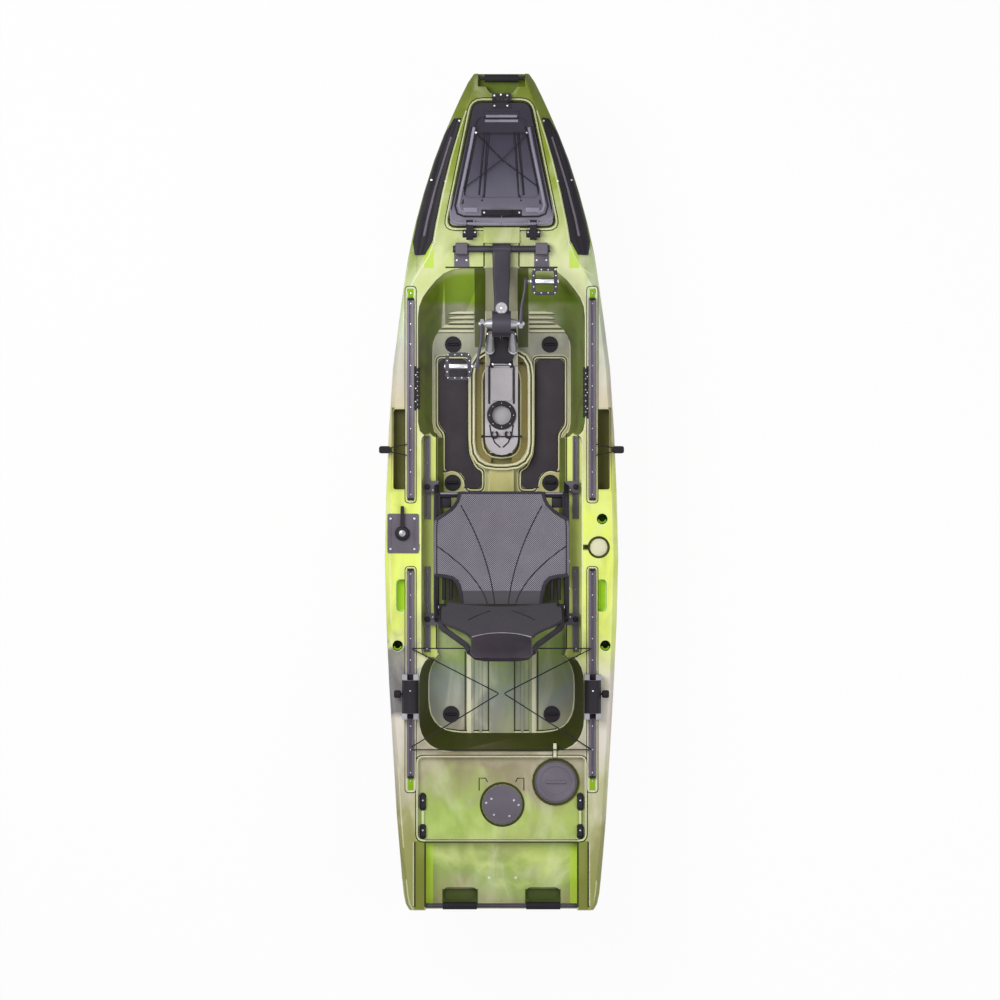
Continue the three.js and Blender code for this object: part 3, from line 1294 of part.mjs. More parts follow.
function coverHooks() {
  const h = hook;
  const z = cover.top + gap + h.rise;
  const rod = (from, to, radius) => bar([from, h.y, z], [to, h.y, z], radius, radius, h.sides);
  const knobs = [-1, 1].map((side) => rod(side * h.knobFrom, side * h.knobTo, h.knobRadius));
  const hooks = [-1, 1].map((side) => {
    const x = side * h.x;
    const y = h.y + h.ahead;
    const outer = disc(x, y, h.radius, z - h.low, z + h.high, roundSides);
    const mouth = block(x - h.mouthHalf, x + h.mouthHalf, y, h.y + h.mouthRun, z - h.over, z + h.over);
    return cut(outer, disc(x, y, h.hole, z - h.over, z + h.over, h.holeSides), mouth);
  });
  return join(rod(-h.rodHalf, h.rodHalf, h.rodRadius), ...knobs, ...hooks);
}
add("cover_hooks", coverHooks(), "blackPlastic");

// Floor pads.
const pad = {
  thickness: 5, front: along(590), back: along(20), outer: 276, outerBack: 246, inner: 152, neck: 90,
  waist: along(260), step: along(300), bulge: 6, bulgeRun: 90, hip: 28, hipY: along(108), neckY: along(92),
  stepRun: 30,
  round: 18, plugRim: 18,
};
function floorPad() {
  const p = pad;
  const outline = [
    [p.inner, p.waist], [p.inner - p.bulge, p.waist - p.bulgeRun], [p.neck + p.hip, p.hipY],
    [p.neck, p.neckY],
    [p.neck, p.back], [p.outerBack, p.back], [p.outerBack, p.step - p.stepRun], [p.outer, p.step],
    [p.outer, p.front], [p.inner, p.front],
  ];
  const z = cockpit.floor + gap;
  const plugHole = disc(middlePlug.x, middlePlug.y, plug.radius + p.plugRim, z - wall, z + overrun);
  return cut(slab(outline, p.round, z, z + p.thickness, 2), plugHole);
}
const padRight = floorPad();
add("floor_pad_right", padRight, "foam");
add("floor_pad_left", mirrored(padRight), "foam");

// Seat.
const seat = {
  frontY: -4, backY: -478, half: 286, tube: 12, frontZ: 322, backZ: 306, footX: seatRail.x, footFront: 26,
  footBack: -550, footRise: 26, rearRun: 60, footRun: 6, bend: 50, tubeSides: 8, railDrop: 4, frontInset: 6,
};
const slider = { inner: 12, outer: 14, half: 26, height: 28, keyHalf: 4, keyHalfLength: 20, keyLow: 2,
  keyHigh: 4 };
const backHinge = { y: -500, z: 368, pin: 5, eye: 14, eyeHalf: 12, pinSides: 10 };
const ear = { x: 246.4, half: 3, lowHalf: 14, lowDrop: 8, highHalf: 10, highRise: 12, round: 6, rod: 8 };
const railTop = bay.ledge + gap + seatRail.height;
function seatFrame() {
  const s = seat;
  const f = slider;
  const e = ear;
  const h = backHinge;
  const low = railTop + s.footRise;
  const sideTube = (x) => {
    const route = [
      [x, s.footFront, low], [x, s.frontY, s.frontZ], [x, s.backY + s.rearRun, s.backZ],
      [x, s.footBack, s.backZ], [x, s.footBack - s.footRun, low],
    ];
    return tube(route, s.tube, s.bend, s.tubeSides, 2);
  };
  const across = (y, z) => bar([-s.half, y, z], [s.half, y, z], s.tube, s.tube, s.tubeSides);
  const front = across(s.frontY - s.frontInset, s.frontZ - s.railDrop);
  const rear = across(s.footBack + s.railDrop, s.backZ - s.railDrop);
  const parts = [];
  for (const sign of [-1, 1]) {
    parts.push(sideTube(sign * s.half));
    for (const y of [s.footFront, s.footBack - s.footRun]) {
      const inner = sign * (s.half - f.inner);
      parts.push(box([inner, y - f.half, railTop + gap],
        [sign * (s.footX + f.outer), y + f.half, railTop + f.height]));
      const x = sign * s.footX;
      const keyFoot = bay.ledge + gap + seatRail.floor + f.keyLow;
      const [back, ahead] = [y - f.keyHalfLength, y + f.keyHalfLength];
      parts.push(block(x - f.keyHalf, x + f.keyHalf, back, ahead, keyFoot, railTop + f.keyHigh));
    }
    const outline = [
      [h.y - e.lowHalf, s.backZ - e.lowDrop], [h.y + e.lowHalf, s.backZ - e.lowDrop],
      [h.y + e.highHalf, h.z + e.highRise], [h.y - e.highHalf, h.z + e.highRise],
    ];
    const x = sign * e.x;
    parts.push(sideSlab(outline, e.round, x - e.half, x + e.half));
    parts.push(bar([x - sign * e.half, h.y, s.backZ], [sign * s.half, h.y, s.backZ], e.rod, e.rod,
      s.tubeSides));
    parts.push(bar([x, h.y, h.z], [sign * (back.half + h.eyeHalf - h.pin), h.y, h.z], h.pin, h.pin,
      h.pinSides));
  }
  return join(front, rear, ...parts);
}

// The back leans on its hinge; it is built upright in its own frame and turned back.
const back = {
  recline: 30, half: 262, shoulderHalf: 150, topHalf: 120, waist: 165, shoulder: 320, height: 430,
  tube: 10, bend: 60, thickness: 4, dip: 6, crossHeight: 60, crossBack: 10, crossTube: 8,
};
add("seat_frame", seatFrame(), "blackMetal");

// Half width of the seat's woven sheet at each place back from its front edge.
const sling = {
  thickness: 4, sag: 26, front: -4, back: -486, lift: 16.3, fallShare: 0.86,
  outline: [
    [0, 190], [35, 196], [70, 216], [95, 246], [118, 284], [130, 292], [240, 292], [356, 292],
    [363, 246], [378, 208], [402, 192], [482, 180],
  ],
  acrossShares: [-1, -0.9, -0.45, 0, 0.45, 0.9, 1], flatShare: 0.9,
};
// How much of its full sag a sheet has at a share of its half width; it lies flat on the tubes.
const sagShare = (across) => Math.max(0, 1 - (across / sling.flatShare) ** 2);
function seatSling() {
  const s = sling;
  const length = s.front - s.back;
  const rings = s.outline.map(([place, half]) => {
    const share = place / length;
    const fall = Math.min(1, share / s.fallShare);
    const edge = seat.frontZ + s.lift + (seat.backZ - seat.frontZ) * fall;
    const dip = s.sag * Math.sin(Math.PI * share);
    const row = (low) =>
      s.acrossShares.map((a) => new THREE.Vector3(a * half, s.front - place, edge - dip * sagShare(a) - low));
    return [...row(s.thickness).reverse(), ...row(0)];
  });
  return loft(rings);
}
add("seat_sling", seatSling(), "mesh");

const leaned = (body) => moved(body, [back.recline, 0, 0], [0, backHinge.y, backHinge.z]);
function backFrame() {
  const b = back;
  const h = backHinge;
  const right = [[b.half, 0, 0], [b.half, 0, b.waist], [b.shoulderHalf, 0, b.shoulder],
    [b.topHalf, 0, b.height]];
  const left = right.map(([x, y, z]) => [-x, y, z]).reverse();
  const hoop = tube([...right, ...left].reverse(), b.tube, b.bend, seat.tubeSides, 2);
  const crossEnds = [-b.half, b.half].map((x) => [x, -b.crossBack, b.crossHeight]);
  const cross = bar(...crossEnds, b.crossTube, b.crossTube, seat.tubeSides);
  const rod = (side, reach, radius) =>
    bar([side * (b.half - reach), 0, 0], [side * (b.half + reach), 0, 0], radius, radius, smallSides);
  const eyes = [-1, 1].map((side) => rod(side, h.eyeHalf, h.eye));
  const bores = [-1, 1].map((side) => rod(side, h.eyeHalf + tiny, around(h.pin, smallSides)));
  return leaned(cut(join(hoop, cross, ...eyes), ...bores));
}
add("back_frame", backFrame(), "blackMetal");

// Half width of the back's woven sheet at each height above the hinge.
const backRows = [
  [-22, 238], [16, 239], [26, 260], [140, 262], [165, 246], [200, 200], [240, 152], [270, 136], [320, 130],
  [350, 130], [400, 123], [416, 107],
];
function backSling() {
  const b = back;
  const rise = (a) => b.tube + gap - b.dip * sagShare(a);
  const rings = backRows.map(([z, half]) => {
    const row = (lift) => sling.acrossShares.map((a) => new THREE.Vector3(a * half, rise(a) + lift, z));
    return [...row(b.thickness), ...row(0).reverse()];
  });
  return leaned(loft(rings));
}
add("back_sling", backSling(), "mesh");

// Steering.
const steering = {
  x: -434, y: along(-178), inner: 72, outer: 66, front: 86, back: 87, plate: 5, round: 8, ribX: 52,
  ribHalf: 3, ribEnd: 12,
  ribRise: 3, postRadius: 10, postRise: 14, postSides: fineSides, leverRun: 20, leverLength: 120,
  leverHalf: 9,
  leverEndHalf: 8, leverRound: 6, leverLow: 9, leverHigh: 16,
  hubProfile: [[0, 0], [32, 0], [32, 12], [26, 18], [16, 20], [14, 30], [0, 34]],
};
function steeringPlate() {
  const s = steering;
  const z = sheerHeight + gap;
  const [back, front] = [s.y - s.back, s.y + s.front];
  const plate = slab(rectangle(s.x - s.outer, s.x + s.inner, back, front), s.round, z - overrun, z + s.plate);
  const ribs = [-s.ribX, s.ribX].map((run) => {
    const x = s.x + run;
    return block(x - s.ribHalf, x + s.ribHalf, back + s.ribEnd, front - s.ribEnd, z + s.plate - tiny,
      z + s.plate + s.ribRise);
  });
  const post = disc(s.x, s.y, s.postRadius, z, z + s.plate + s.postRise);
  return seated(join(plate, ...ribs, post));
}
add("steering_plate", steeringPlate(), "blackPlastic");
function steeringLever() {
  const s = steering;
  const z = sheerHeight + gap * 2 + s.plate;
  const hub = moved(turned(s.hubProfile), [0, 0, 0], [s.x, s.y, z]);
  const [from, to] = [s.y + s.leverRun, s.y + s.leverLength];
  const outline = [[s.x - s.leverHalf, from], [s.x + s.leverHalf, from], [s.x + s.leverEndHalf, to],
    [s.x - s.leverEndHalf, to]];
  const lever = slab(outline, s.leverRound, z + s.leverLow, z + s.leverHigh, 2);
  const bore = disc(s.x, s.y, around(s.postRadius), z - overrun, z + s.postRise + gap, roundSides);
  return cut(join(hub, lever), bore);
}
add("steering_lever", steeringLever(), "blackPlastic");

const rudder = {
  chord: 118, depth: -170, thick: 12, stockShare: 0.5, tipShare: 0.7, broadShare: 0.6, topDrop: 34,
  sectionShares: [[-0.7, 0.04], [-0.3, 0.36], [0.1, 0.5], [0.25, 0.3], [0.3, 0]],
};
function rudderBody() {
  const r = rudder;
  const post = rudderPost;
  const low = keelHeight(post.y);
  const stock = bar([0, post.y, r.depth * r.stockShare], [0, post.y, post.top - wall * 3 - gap], post.radius);
  const foil = (z, chord) => {
    const right = r.sectionShares.map(([a, b]) => [b * r.thick, a * chord]);
    const left = r.sectionShares.slice(0, -1).reverse().map(([a, b]) => [-b * r.thick, a * chord]);
    return [...right, ...left].map(([x, y]) => new THREE.Vector3(x, post.y + y, z));
  };
  const tip = foil(r.depth, r.chord * r.tipShare);
  const blade = loft([tip, foil(r.depth * r.broadShare, r.chord), foil(low - r.topDrop, r.chord)]);
  return join(stock, blade);
}
add("rudder", rudderBody(), "blackPlastic");

// Track mounts on the rear rails.
const mount = {
  middle: along(-880), front: 87, back: 110, barrelFront: 62, barrelBack: 84, radius: 37, blockHalf: 36,
  axisRise: 6,
  blockRise: 24, footHalf: 13, boreWall: 9, boreOver: 10, studDrop: 8, studFrom: 20, studRun: 14,
  studRadius: 5, studSides: 10,
  knobRun: 4, knobOver: 5, knobProfile: [[0, 0], [13, 0], [17, 6], [17, 26], [13, 31], [0, 31]],
};
mount.low = sheerHeight + gap * 2 + rail.height;
mount.axis = mount.low + mount.radius + mount.axisRise;
const studEnd = rail.x + mount.radius + mount.studRun;
function trackMount() {
  const m = mount;
  const lengthways = (from, to, radius) =>
    bar([rail.x, m.middle + from, m.axis], [rail.x, m.middle + to, m.axis], radius, radius, roundSides);
  const barrel = lengthways(-m.barrelBack, m.barrelFront, m.radius);
  const upTo = (half, from, to, high) =>
    block(rail.x - half, rail.x + half, m.middle + from, m.middle + to, m.low, high);
  const ends = [[m.barrelFront, m.front], [-m.back, -m.barrelBack]].map(([from, to]) =>
    upTo(m.blockHalf, from, to, m.axis + m.blockRise),
  );
  const foot = upTo(m.footHalf, -m.barrelBack, m.barrelFront, m.axis);
  const bore = lengthways(-m.back - m.boreOver, m.front + m.boreOver, m.radius - m.boreWall);
  const z = m.axis - m.studDrop;
  const stud = bar([rail.x + m.studFrom, m.middle, z], [studEnd, m.middle, z], m.studRadius, m.studRadius,
    m.studSides);
  return cut(join(cut(join(barrel, ...ends, foot), bore), stud), bore);
}
const mountRight = trackMount();
add("track_mount_right", mountRight, "blackPlastic");
add("track_mount_left", mirrored(mountRight), "blackPlastic");
function mountKnob() {
  const m = mount;
  const z = m.axis - m.studDrop;
  const x0 = rail.x + m.radius + m.knobRun;
  const knob = moved(turned(m.knobProfile, smallSides), [0, quarterTurn, 0], [x0, m.middle, z]);
  const hole = around(m.studRadius, m.studSides);
  return cut(knob, bar([x0 - m.knobOver, m.middle, z], [studEnd + gap, m.middle, z], hole, hole,
    m.studSides));
}
const knobRight = mountKnob();
add("mount_knob_right", knobRight, "rubber");
add("mount_knob_left", mirrored(knobRight), "rubber");

// Round hatch and mounting plate: lathe outlines of [radius, height].
const rearZ = rearDeck.floor + gap;
const roundHatch = {
  ring: [[60, 0], [104, 0], [104, 6], [92, 9], [89, 9], [89, 3], [64, 3], [64, -22], [60, -22], [60, 0]],
  lid: [[0, 3.4], [58, 3.4], [88, 3.4], [88, 10], [80, 14], [69, 14], [66, 11], [57, 11], [54, 13], [0, 13]],
  gripHalf: 44, gripWidth: 5, gripLow: 12, gripHigh: 22,
};
const atHatch = [hatchHole.x, hatchHole.y, rearZ];
add("round_hatch_ring", moved(turned(roundHatch.ring), [0, 0, 0], atHatch), "blackPlastic");
function roundLid() {
  const r = roundHatch;
  const { x, y } = hatchHole;
  const grip = block(x - r.gripHalf, x + r.gripHalf, y - r.gripWidth, y + r.gripWidth, rearZ + r.gripLow,
    rearZ + r.gripHigh);
  return join(moved(turned(r.lid), [0, 0, 0], atHatch), grip);
}
add("round_hatch_lid", roundLid(), "blackPlastic");
const deckPlate = { x: 3, y: rearDeck.back + along(153),
  outline: [[0, 0], [87, 0], [87, 5], [82, 8], [0, 8]] };
add("mounting_plate", moved(turned(deckPlate.outline), [0, 0, 0], [deckPlate.x, deckPlate.y, rearZ]),
  "blackPlastic");

// Elastic cord over the rear well.
const tankCord = {
  radius: 3, x: 396, front: along(-681), rear: along(-1125), middle: along(-879), meetX: 10, frontLift: 8,
  lift: 6,
  endIn: 2, endRun: 12,
};
function tankBungee() {
  const c = tankCord;
  const z = sheerHeight + 2 * gap + rail.height + c.radius;
  const [high, higher] = [z + c.lift, z + c.frontLift];
  const route = [
    [-c.x, c.rear, z], [c.x, c.rear, z], [c.meetX, c.middle, z], [c.x, c.front, higher],
    [-c.x, c.front, higher],
    [-c.meetX, c.middle, high], [-c.x + c.endIn, c.rear + c.endRun, high],
  ];
  return cordThrough(route, c.radius);
}
add("tankwell_bungee", tankBungee(), "cord");

export default kayak;
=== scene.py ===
import json
from math import atan, cos, hypot, pi, radians, sin, sqrt

import bmesh
import bpy
from mathutils import Matrix, Vector
from mathutils.bvhtree import BVHTree
from mathutils.kdtree import KDTree


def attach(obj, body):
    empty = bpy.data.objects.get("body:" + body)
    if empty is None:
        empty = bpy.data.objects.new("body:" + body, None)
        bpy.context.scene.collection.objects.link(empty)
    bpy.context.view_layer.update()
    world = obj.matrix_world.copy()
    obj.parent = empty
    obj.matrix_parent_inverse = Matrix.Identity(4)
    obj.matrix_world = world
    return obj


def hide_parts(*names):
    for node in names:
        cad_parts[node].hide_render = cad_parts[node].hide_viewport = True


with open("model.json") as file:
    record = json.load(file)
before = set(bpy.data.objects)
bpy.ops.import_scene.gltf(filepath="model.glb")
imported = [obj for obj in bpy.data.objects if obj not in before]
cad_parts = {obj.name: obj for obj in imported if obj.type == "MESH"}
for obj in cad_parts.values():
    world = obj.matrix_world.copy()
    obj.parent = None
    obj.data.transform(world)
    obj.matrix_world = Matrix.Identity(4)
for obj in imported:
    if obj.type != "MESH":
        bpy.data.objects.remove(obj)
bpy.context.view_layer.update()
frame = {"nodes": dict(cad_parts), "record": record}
print("frame loaded")

# stage: camera, lamps, world and floor
stageForm = {
    "reference": 0.33,  # height that the picture's scale holds at
    "distance": 20.0,
    "span": 4.38,  # metres across the picture at that height
    "centre": (-0.0066, -0.032),
    "sensor": 36.0,
    "world": 0.36,
    "floor": {"z": -0.262, "size": 30, "tone": (0.86, 0.86, 0.86, 1), "roughness": 0.9, "glow": 0.94},
    "aim": (0, 0, 0.2),
    "lamps": {
        "keyLamp": ((-2.6, 1.8, 5.5), (2.6, 4.5), 250.0),
        "fillLamp": ((3.2, -1.6, 4.5), (3.0, 4.5), 80.0),
    },
}
white = (1, 1, 1, 1)


def wire(tree, value, socket):
    if isinstance(value, (int, float, tuple)):
        socket.default_value = value
    else:
        tree.links.new(value, socket)


def addNode(tree, kind, values=None, **settings):
    node = tree.nodes.new("ShaderNode" + kind)
    for key, setting in settings.items():
        setattr(node, key, setting)
    for key, value in (values or {}).items():
        wire(tree, value, node.inputs[key])
    return node


def sums(tree, operation, first, second=0.0):
    return addNode(tree, "Math", {0: first, 1: second}, operation=operation).outputs[0]


def placed(name, data):
    thing = bpy.data.objects.new(name, data)
    bpy.context.scene.collection.objects.link(thing)
    return thing


def makeCamera(s):
    data = bpy.data.cameras.new("camera")
    data.sensor_width = s["sensor"]
    data.lens = s["sensor"] * s["distance"] / s["span"]
    data.clip_end = 100.0
    camera = placed("camera", data)
    camera.location = (*s["centre"], s["distance"] + s["reference"])
    bpy.context.scene.camera = camera


def makeLamp(name, spot, size, power):
    data = bpy.data.lights.new(name, "AREA")
    data.shape = "RECTANGLE"
    data.size, data.size_y = size
    data.energy = power
    lamp = placed(name, data)
    lamp.location = spot
    lamp.rotation_euler = (Vector(stageForm["aim"]) - Vector(spot)).to_track_quat("-Z", "Y").to_euler()


# one for the rays that should meet a plain white background
def whiteRays(tree):
    path = addNode(tree, "LightPath")
    rays = path.outputs["Is Camera Ray"]
    for kind in ("Is Glossy Ray", "Is Transmission Ray"):
        rays = sums(tree, "MAXIMUM", rays, path.outputs[kind])
    return rays


def makeWorld(s):
    world = bpy.data.worlds.new("studio")
    world.use_nodes = True
    tree = world.node_tree
    seen = tree.nodes["Background"]
    wire(tree, 1.0, seen.inputs["Strength"])
    wire(tree, white, seen.inputs["Color"])
    lit = addNode(tree, "Background", {"Strength": s["world"], "Color": white})
    mix = addNode(tree, "MixShader", {0: whiteRays(tree), 1: lit.outputs[0], 2: seen.outputs[0]})
    wire(tree, mix.outputs[0], tree.nodes["World Output"].inputs["Surface"])
    bpy.context.scene.world = world


# the floor looks white to the camera, apart from the share of it that shows the shadow
def makeFloor(f):
    bm = bmesh.new()
    bmesh.ops.create_grid(bm, x_segments=1, y_segments=1, size=f["size"])
    bmesh.ops.translate(bm, verts=bm.verts, vec=(0, 0, f["z"]))
    mesh = bpy.data.meshes.new("studioFloor")
    bm.to_mesh(mesh)
    bm.free()
    floor = placed("studioFloor", mesh)
    material = bpy.data.materials.new("studioFloorPaint")
    material.use_nodes = True
    tree = material.node_tree
    paint = tree.nodes["Principled BSDF"]
    wire(tree, f["tone"], paint.inputs["Base Color"])
    wire(tree, f["roughness"], paint.inputs["Roughness"])
    glow = addNode(tree, "Emission", {"Strength": 1.0})
    share = sums(tree, "MULTIPLY", whiteRays(tree), f["glow"])
    mix = addNode(tree, "MixShader", {0: share, 1: paint.outputs[0], 2: glow.outputs[0]})
    wire(tree, mix.outputs[0], tree.nodes["Material Output"].inputs["Surface"])
    mesh.materials.append(material)


bpy.context.scene.view_settings.view_transform = "Standard"
makeCamera(stageForm)
makeWorld(stageForm)
for name, terms in stageForm["lamps"].items():
    makeLamp(name, *terms)
makeFloor(stageForm["floor"])
print("stage ready")


# finishes
def tone(red, green, blue):  # a picture colour, 0 to 255, as a shader colour
    def straight(value):
        value /= 255
        return value / 12.92 if value <= 0.04045 else ((value + 0.055) / 1.055) ** 2.4

    return (straight(red), straight(green), straight(blue), 1)


def startFinish(name, colour, roughness, metallic=0.0, specular=0.18):
    material = bpy.data.materials.new(name)
    material.use_nodes = True
    tree = material.node_tree
    shader = tree.nodes["Principled BSDF"]
    values = {"Base Color": colour, "Roughness": roughness, "Metallic": metallic,
        "Specular IOR Level": specular}
    for key, value in values.items():
        shader.inputs[key].default_value = value
    return material, tree, shader


def objectPlace(tree):
    return addNode(tree, "TexCoord").outputs["Object"]


def apart(tree, vector):
    return addNode(tree, "SeparateXYZ", {0: vector}).outputs


def times(tree, first, *others):
    for other in others:
        first = sums(tree, "MULTIPLY", first, other)
    return first


def noise(tree, spot, scale, detail=3.0, distortion=0.0, stretch=None):
    if stretch:
        spot = addNode(tree, "Mapping", {"Vector": spot, "Scale": stretch}).outputs[0]
    values = {"Vector": spot, "Scale": scale, "Detail": detail, "Distortion": distortion}
    return addNode(tree, "TexNoise", values).outputs["Fac"]


def spread(tree, value, low, high, outLow=0.0, outHigh=1.0, smooth=False):
    values = {"Value": value, "From Min": low, "From Max": high, "To Min": outLow, "To Max": outHigh}
    kind = "SMOOTHSTEP" if smooth else "LINEAR"
    return addNode(tree, "MapRange", values, interpolation_type=kind).outputs["Result"]


def ramp(tree, value, stops):
    node = addNode(tree, "ValToRGB", {0: value})
    row = node.color_ramp.elements
    while len(row) < len(stops):
        row.new(0.5)
    for element, (at, colour) in zip(row, stops):
        element.position = at
        element.color = colour
    return node.outputs[0]


# a table of places and tones as a ramp's stops
def stopsAlong(table, low=0.0, high=1.0):
    return [((at - low) / (high - low), tone(*shade)) for at, shade in table]


def blendColour(tree, share, first, second):
    return addNode(tree, "Mix", {"Factor": share, 6: first, 7: second}, data_type="RGBA").outputs[2]


# the last links of a finish: its colour, its bump and, where it varies, its roughness
def endFinish(tree, shader, colour, height, strength, distance, rough=None):
    node = addNode(tree, "Bump", {"Strength": strength, "Distance": distance, "Height": height})
    wire(tree, node.outputs[0], shader.inputs["Normal"])
    wire(tree, colour, shader.inputs["Base Color"])
    if rough:
        wire(tree, rough, shader.inputs["Roughness"])


grainForm = {"patches": (6.0, 4.0, 0.3), "patchShare": 0.75, "stops": (0.32, 0.7), "smoother": 0.08,
    "rougher": 0.1, "strength": 0.35}


def grainedFinish(name, dark, light, roughness, metallic=0.0, grain=900.0, depth=0.0003, stretch=None):
    g = grainForm
    material, tree, shader = startFinish(name, tone(*dark), roughness, metallic)
    spot = objectPlace(tree)
    patch = noise(tree, spot, *g["patches"], stretch)
    fine = noise(tree, spot, grain, 2.0)
    mixed = sums(tree, "ADD", times(tree, patch, g["patchShare"]), times(tree, fine, 1 - g["patchShare"]))
    colour = ramp(tree, mixed, stopsAlong(zip(g["stops"], (dark, light))))
    rough = spread(tree, patch, 0.2, 0.8, roughness - g["smoother"], roughness + g["rougher"])
    endFinish(tree, shader, colour, fine, g["strength"], depth, rough)
    return material


# the moulded hull: tones along its length, bow last, fields with a tone of their own, painted shade on the
# steep inner walls, in the pockets and wells and under the seat, and painted light on the seat ledge and in
# the rod holes
hullForm = {
    "length": (-1.86, 1.86),
    "noises": {  # scale, detail, distortion, stretch
        "swirl": (2.2, 4.0, 1.2), "marble": (5.5, 5.0, 1.6), "veins": (2.6, 6.0, 1.2, (1.0, 0.7, 1.0)),
        "cloud": (3.6, 6.0, 0.9, (1.0, 0.7, 1.0)), "streaks": (9.0, 6.0, 0.6, (1.0, 0.35, 1.0)),
    },
    "deck": [
        (-1.78, (166, 166, 116)), (-1.66, (156, 178, 98)), (-1.56, (206, 220, 136)), (-1.42, (172, 198, 100)),
        (-1.22, (158, 146, 118)), (-0.9, (212, 206, 190)), (-0.58, (236, 250, 126)), (-0.08, (232, 246, 124)),
        (0.55, (216, 208, 178)), (1.02, (218, 226, 168)), (1.34, (140, 160, 46)), (1.8, (100, 112, 14)),
    ],
    "edge": [
        (-1.78, (150, 154, 88)), (-1.45, (158, 158, 100)), (-1.18, (220, 212, 198)), (-0.84, (232, 225, 212)),
        (-0.6, (232, 246, 116)), (-0.04, (228, 242, 116)), (0.18, (216, 208, 150)), (0.44, (208, 198, 180)),
        (0.66, (206, 212, 196)), (0.92, (214, 226, 184)), (1.12, (136, 160, 42)), (1.8, (102, 116, 18)),
    ],
    "floor": [
        (-1.1, (150, 146, 128)), (-0.86, (140, 148, 142)), (-0.7, (146, 168, 96)), (-0.3, (150, 168, 60)),
        (0.06, (204, 196, 132)), (0.3, (190, 180, 136)), (0.6, (160, 158, 150)), (0.8, (198, 198, 174)),
        (0.92, (132, 152, 54)),
    ],
    "drift": (-0.5, -0.8, 0.3),
    # soft clouds that run through the moulding: noise, where it starts and is full, share, tone
    "washes": [
        ("veins", 0.5, 0.74, 0.45, (188, 208, 100)), ("cloud", 0.52, 0.74, 0.42, (150, 144, 112)),
        ("cloud", 0.46, 0.26, 0.42, (228, 228, 194)), ("drift", 0.22, 0.1, 0.8, (104, 104, 112)),
        ("streaks", 0.5, 0.7, 0.2, (112, 116, 58)), ("streaks", 0.48, 0.3, 0.22, (244, 246, 214)),
    ],
    "toes": {
        "box": ((0.072, 0.37), (0.846, 0.985), (0.125, 0.3)), "soft": 0.02, "share": 0.85,
        "tones": {-1: (150, 190, 20), 1: (104, 128, 24)},
    },
    # darker tones painted as shade on the steep inner walls, and the share of it they take
    "walls": [(0.35, (74, 84, 8)), (0.5, (92, 108, 14)), (0.66, (82, 120, 8))],
    "paintedWallShade": 0.86,
    # across (mirrored), along, up, tone, share
    "fields": [
        # painted light that lifts the seat ledge out of its shade
        ((0.283, 0.352), (-0.73, 0.262), (0.205, 0.225), (240, 252, 140), 0.95),
        ((0.0, 0.072), (0.56, 0.985), (0.15, 0.345), (156, 150, 134), 0.8),
        ((0.072, 0.117), (0.645, 0.986), (0.11, 0.3275), (66, 76, 14), 0.85),
        # painted shade under the seat
        ((0.0, 0.254), (-0.575, -0.325), (0.15, 0.19), (58, 56, 52), 0.8),
        ((0.34, 0.3785), (-1.9, -1.527), (0.2, 0.3325), (112, 118, 36), 0.85),
        ((0.0, 0.3325), (-1.536, -1.519), (0.2, 0.3325), (66, 86, 14), 0.85),
        ((0.303, 0.3325), (-1.82, -1.545), (0.225, 0.3325), (206, 240, 44), 0.6),
        ((0.298, 0.338), (0.985, 1.085), (0.32, 0.345), (186, 222, 30), 0.75),
        ((0.34, 0.38), (-0.252, -0.226), (0.245, 0.3285), (74, 92, 20), 0.95),
        # painted shade on the walls of the rear well
        ((0.0, 0.365), (-1.14, -0.735), (0.183, 0.327), (58, 60, 16), 0.9),
        ((0.0, 0.1205), (0.12, 0.645), (0.14, 0.1705), (116, 104, 40), 0.85),
        # painted shade inside the side pockets
        ((0.408, 0.48), (0.008, 0.372), (0.2, 0.3275), (98, 98, 26), 0.94),
        ((0.408, 0.466), (-0.527, -0.374), (0.2, 0.3275), (182, 228, 26), 0.92),
        ((0.105, 0.259), (-1.814, -1.744), (0.2, 0.252), (54, 70, 12), 0.94),
        ((0.0, 0.104), (1.735, 1.8), (0.34, 0.4), (92, 110, 18), 0.85),
        # painted light on the lower walls of the rod holes, in this row and the next
        ((0.422, 0.46), (-0.134, -0.096), (0.145, 0.3275), (190, 240, 20), 1.0),
        ((0.436, 0.474), (-0.689, -0.651), (0.2, 0.3275), (190, 240, 20), 1.0),
        ((0.0, 0.045), (0.11, 0.175), (0.1, 0.13), (88, 84, 34), 0.8),
    ],
}


# one inside a box of the object's space, falling to nothing over a short way outside it
def boxShare(tree, axes, spans, soft=0.003):
    shares = []
    for axis, (low, high) in zip(axes, spans):
        shares += [spread(tree, axis, low - soft, low), spread(tree, axis, high + soft, high)]
    return times(tree, *shares)


# one on the steep inner walls, which get a painted shade of darker, deeper green
def paintedWallShade(tree, x, across, z):
    normal = apart(tree, addNode(tree, "NewGeometry").outputs["Normal"])
    steep = spread(tree, normal[2], 0.86, 0.55, 0.0, 1.0, True)
    outward = times(tree, normal[0], sums(tree, "SIGN", x))
    inner = times(tree, sums(tree, "LESS_THAN", across, 0.478), sums(tree, "LESS_THAN", outward, 0.2))
    inner = sums(tree, "MAXIMUM", inner, sums(tree, "LESS_THAN", across, 0.375))
    return times(tree, steep, inner, sums(tree, "LESS_THAN", z, 0.3295))


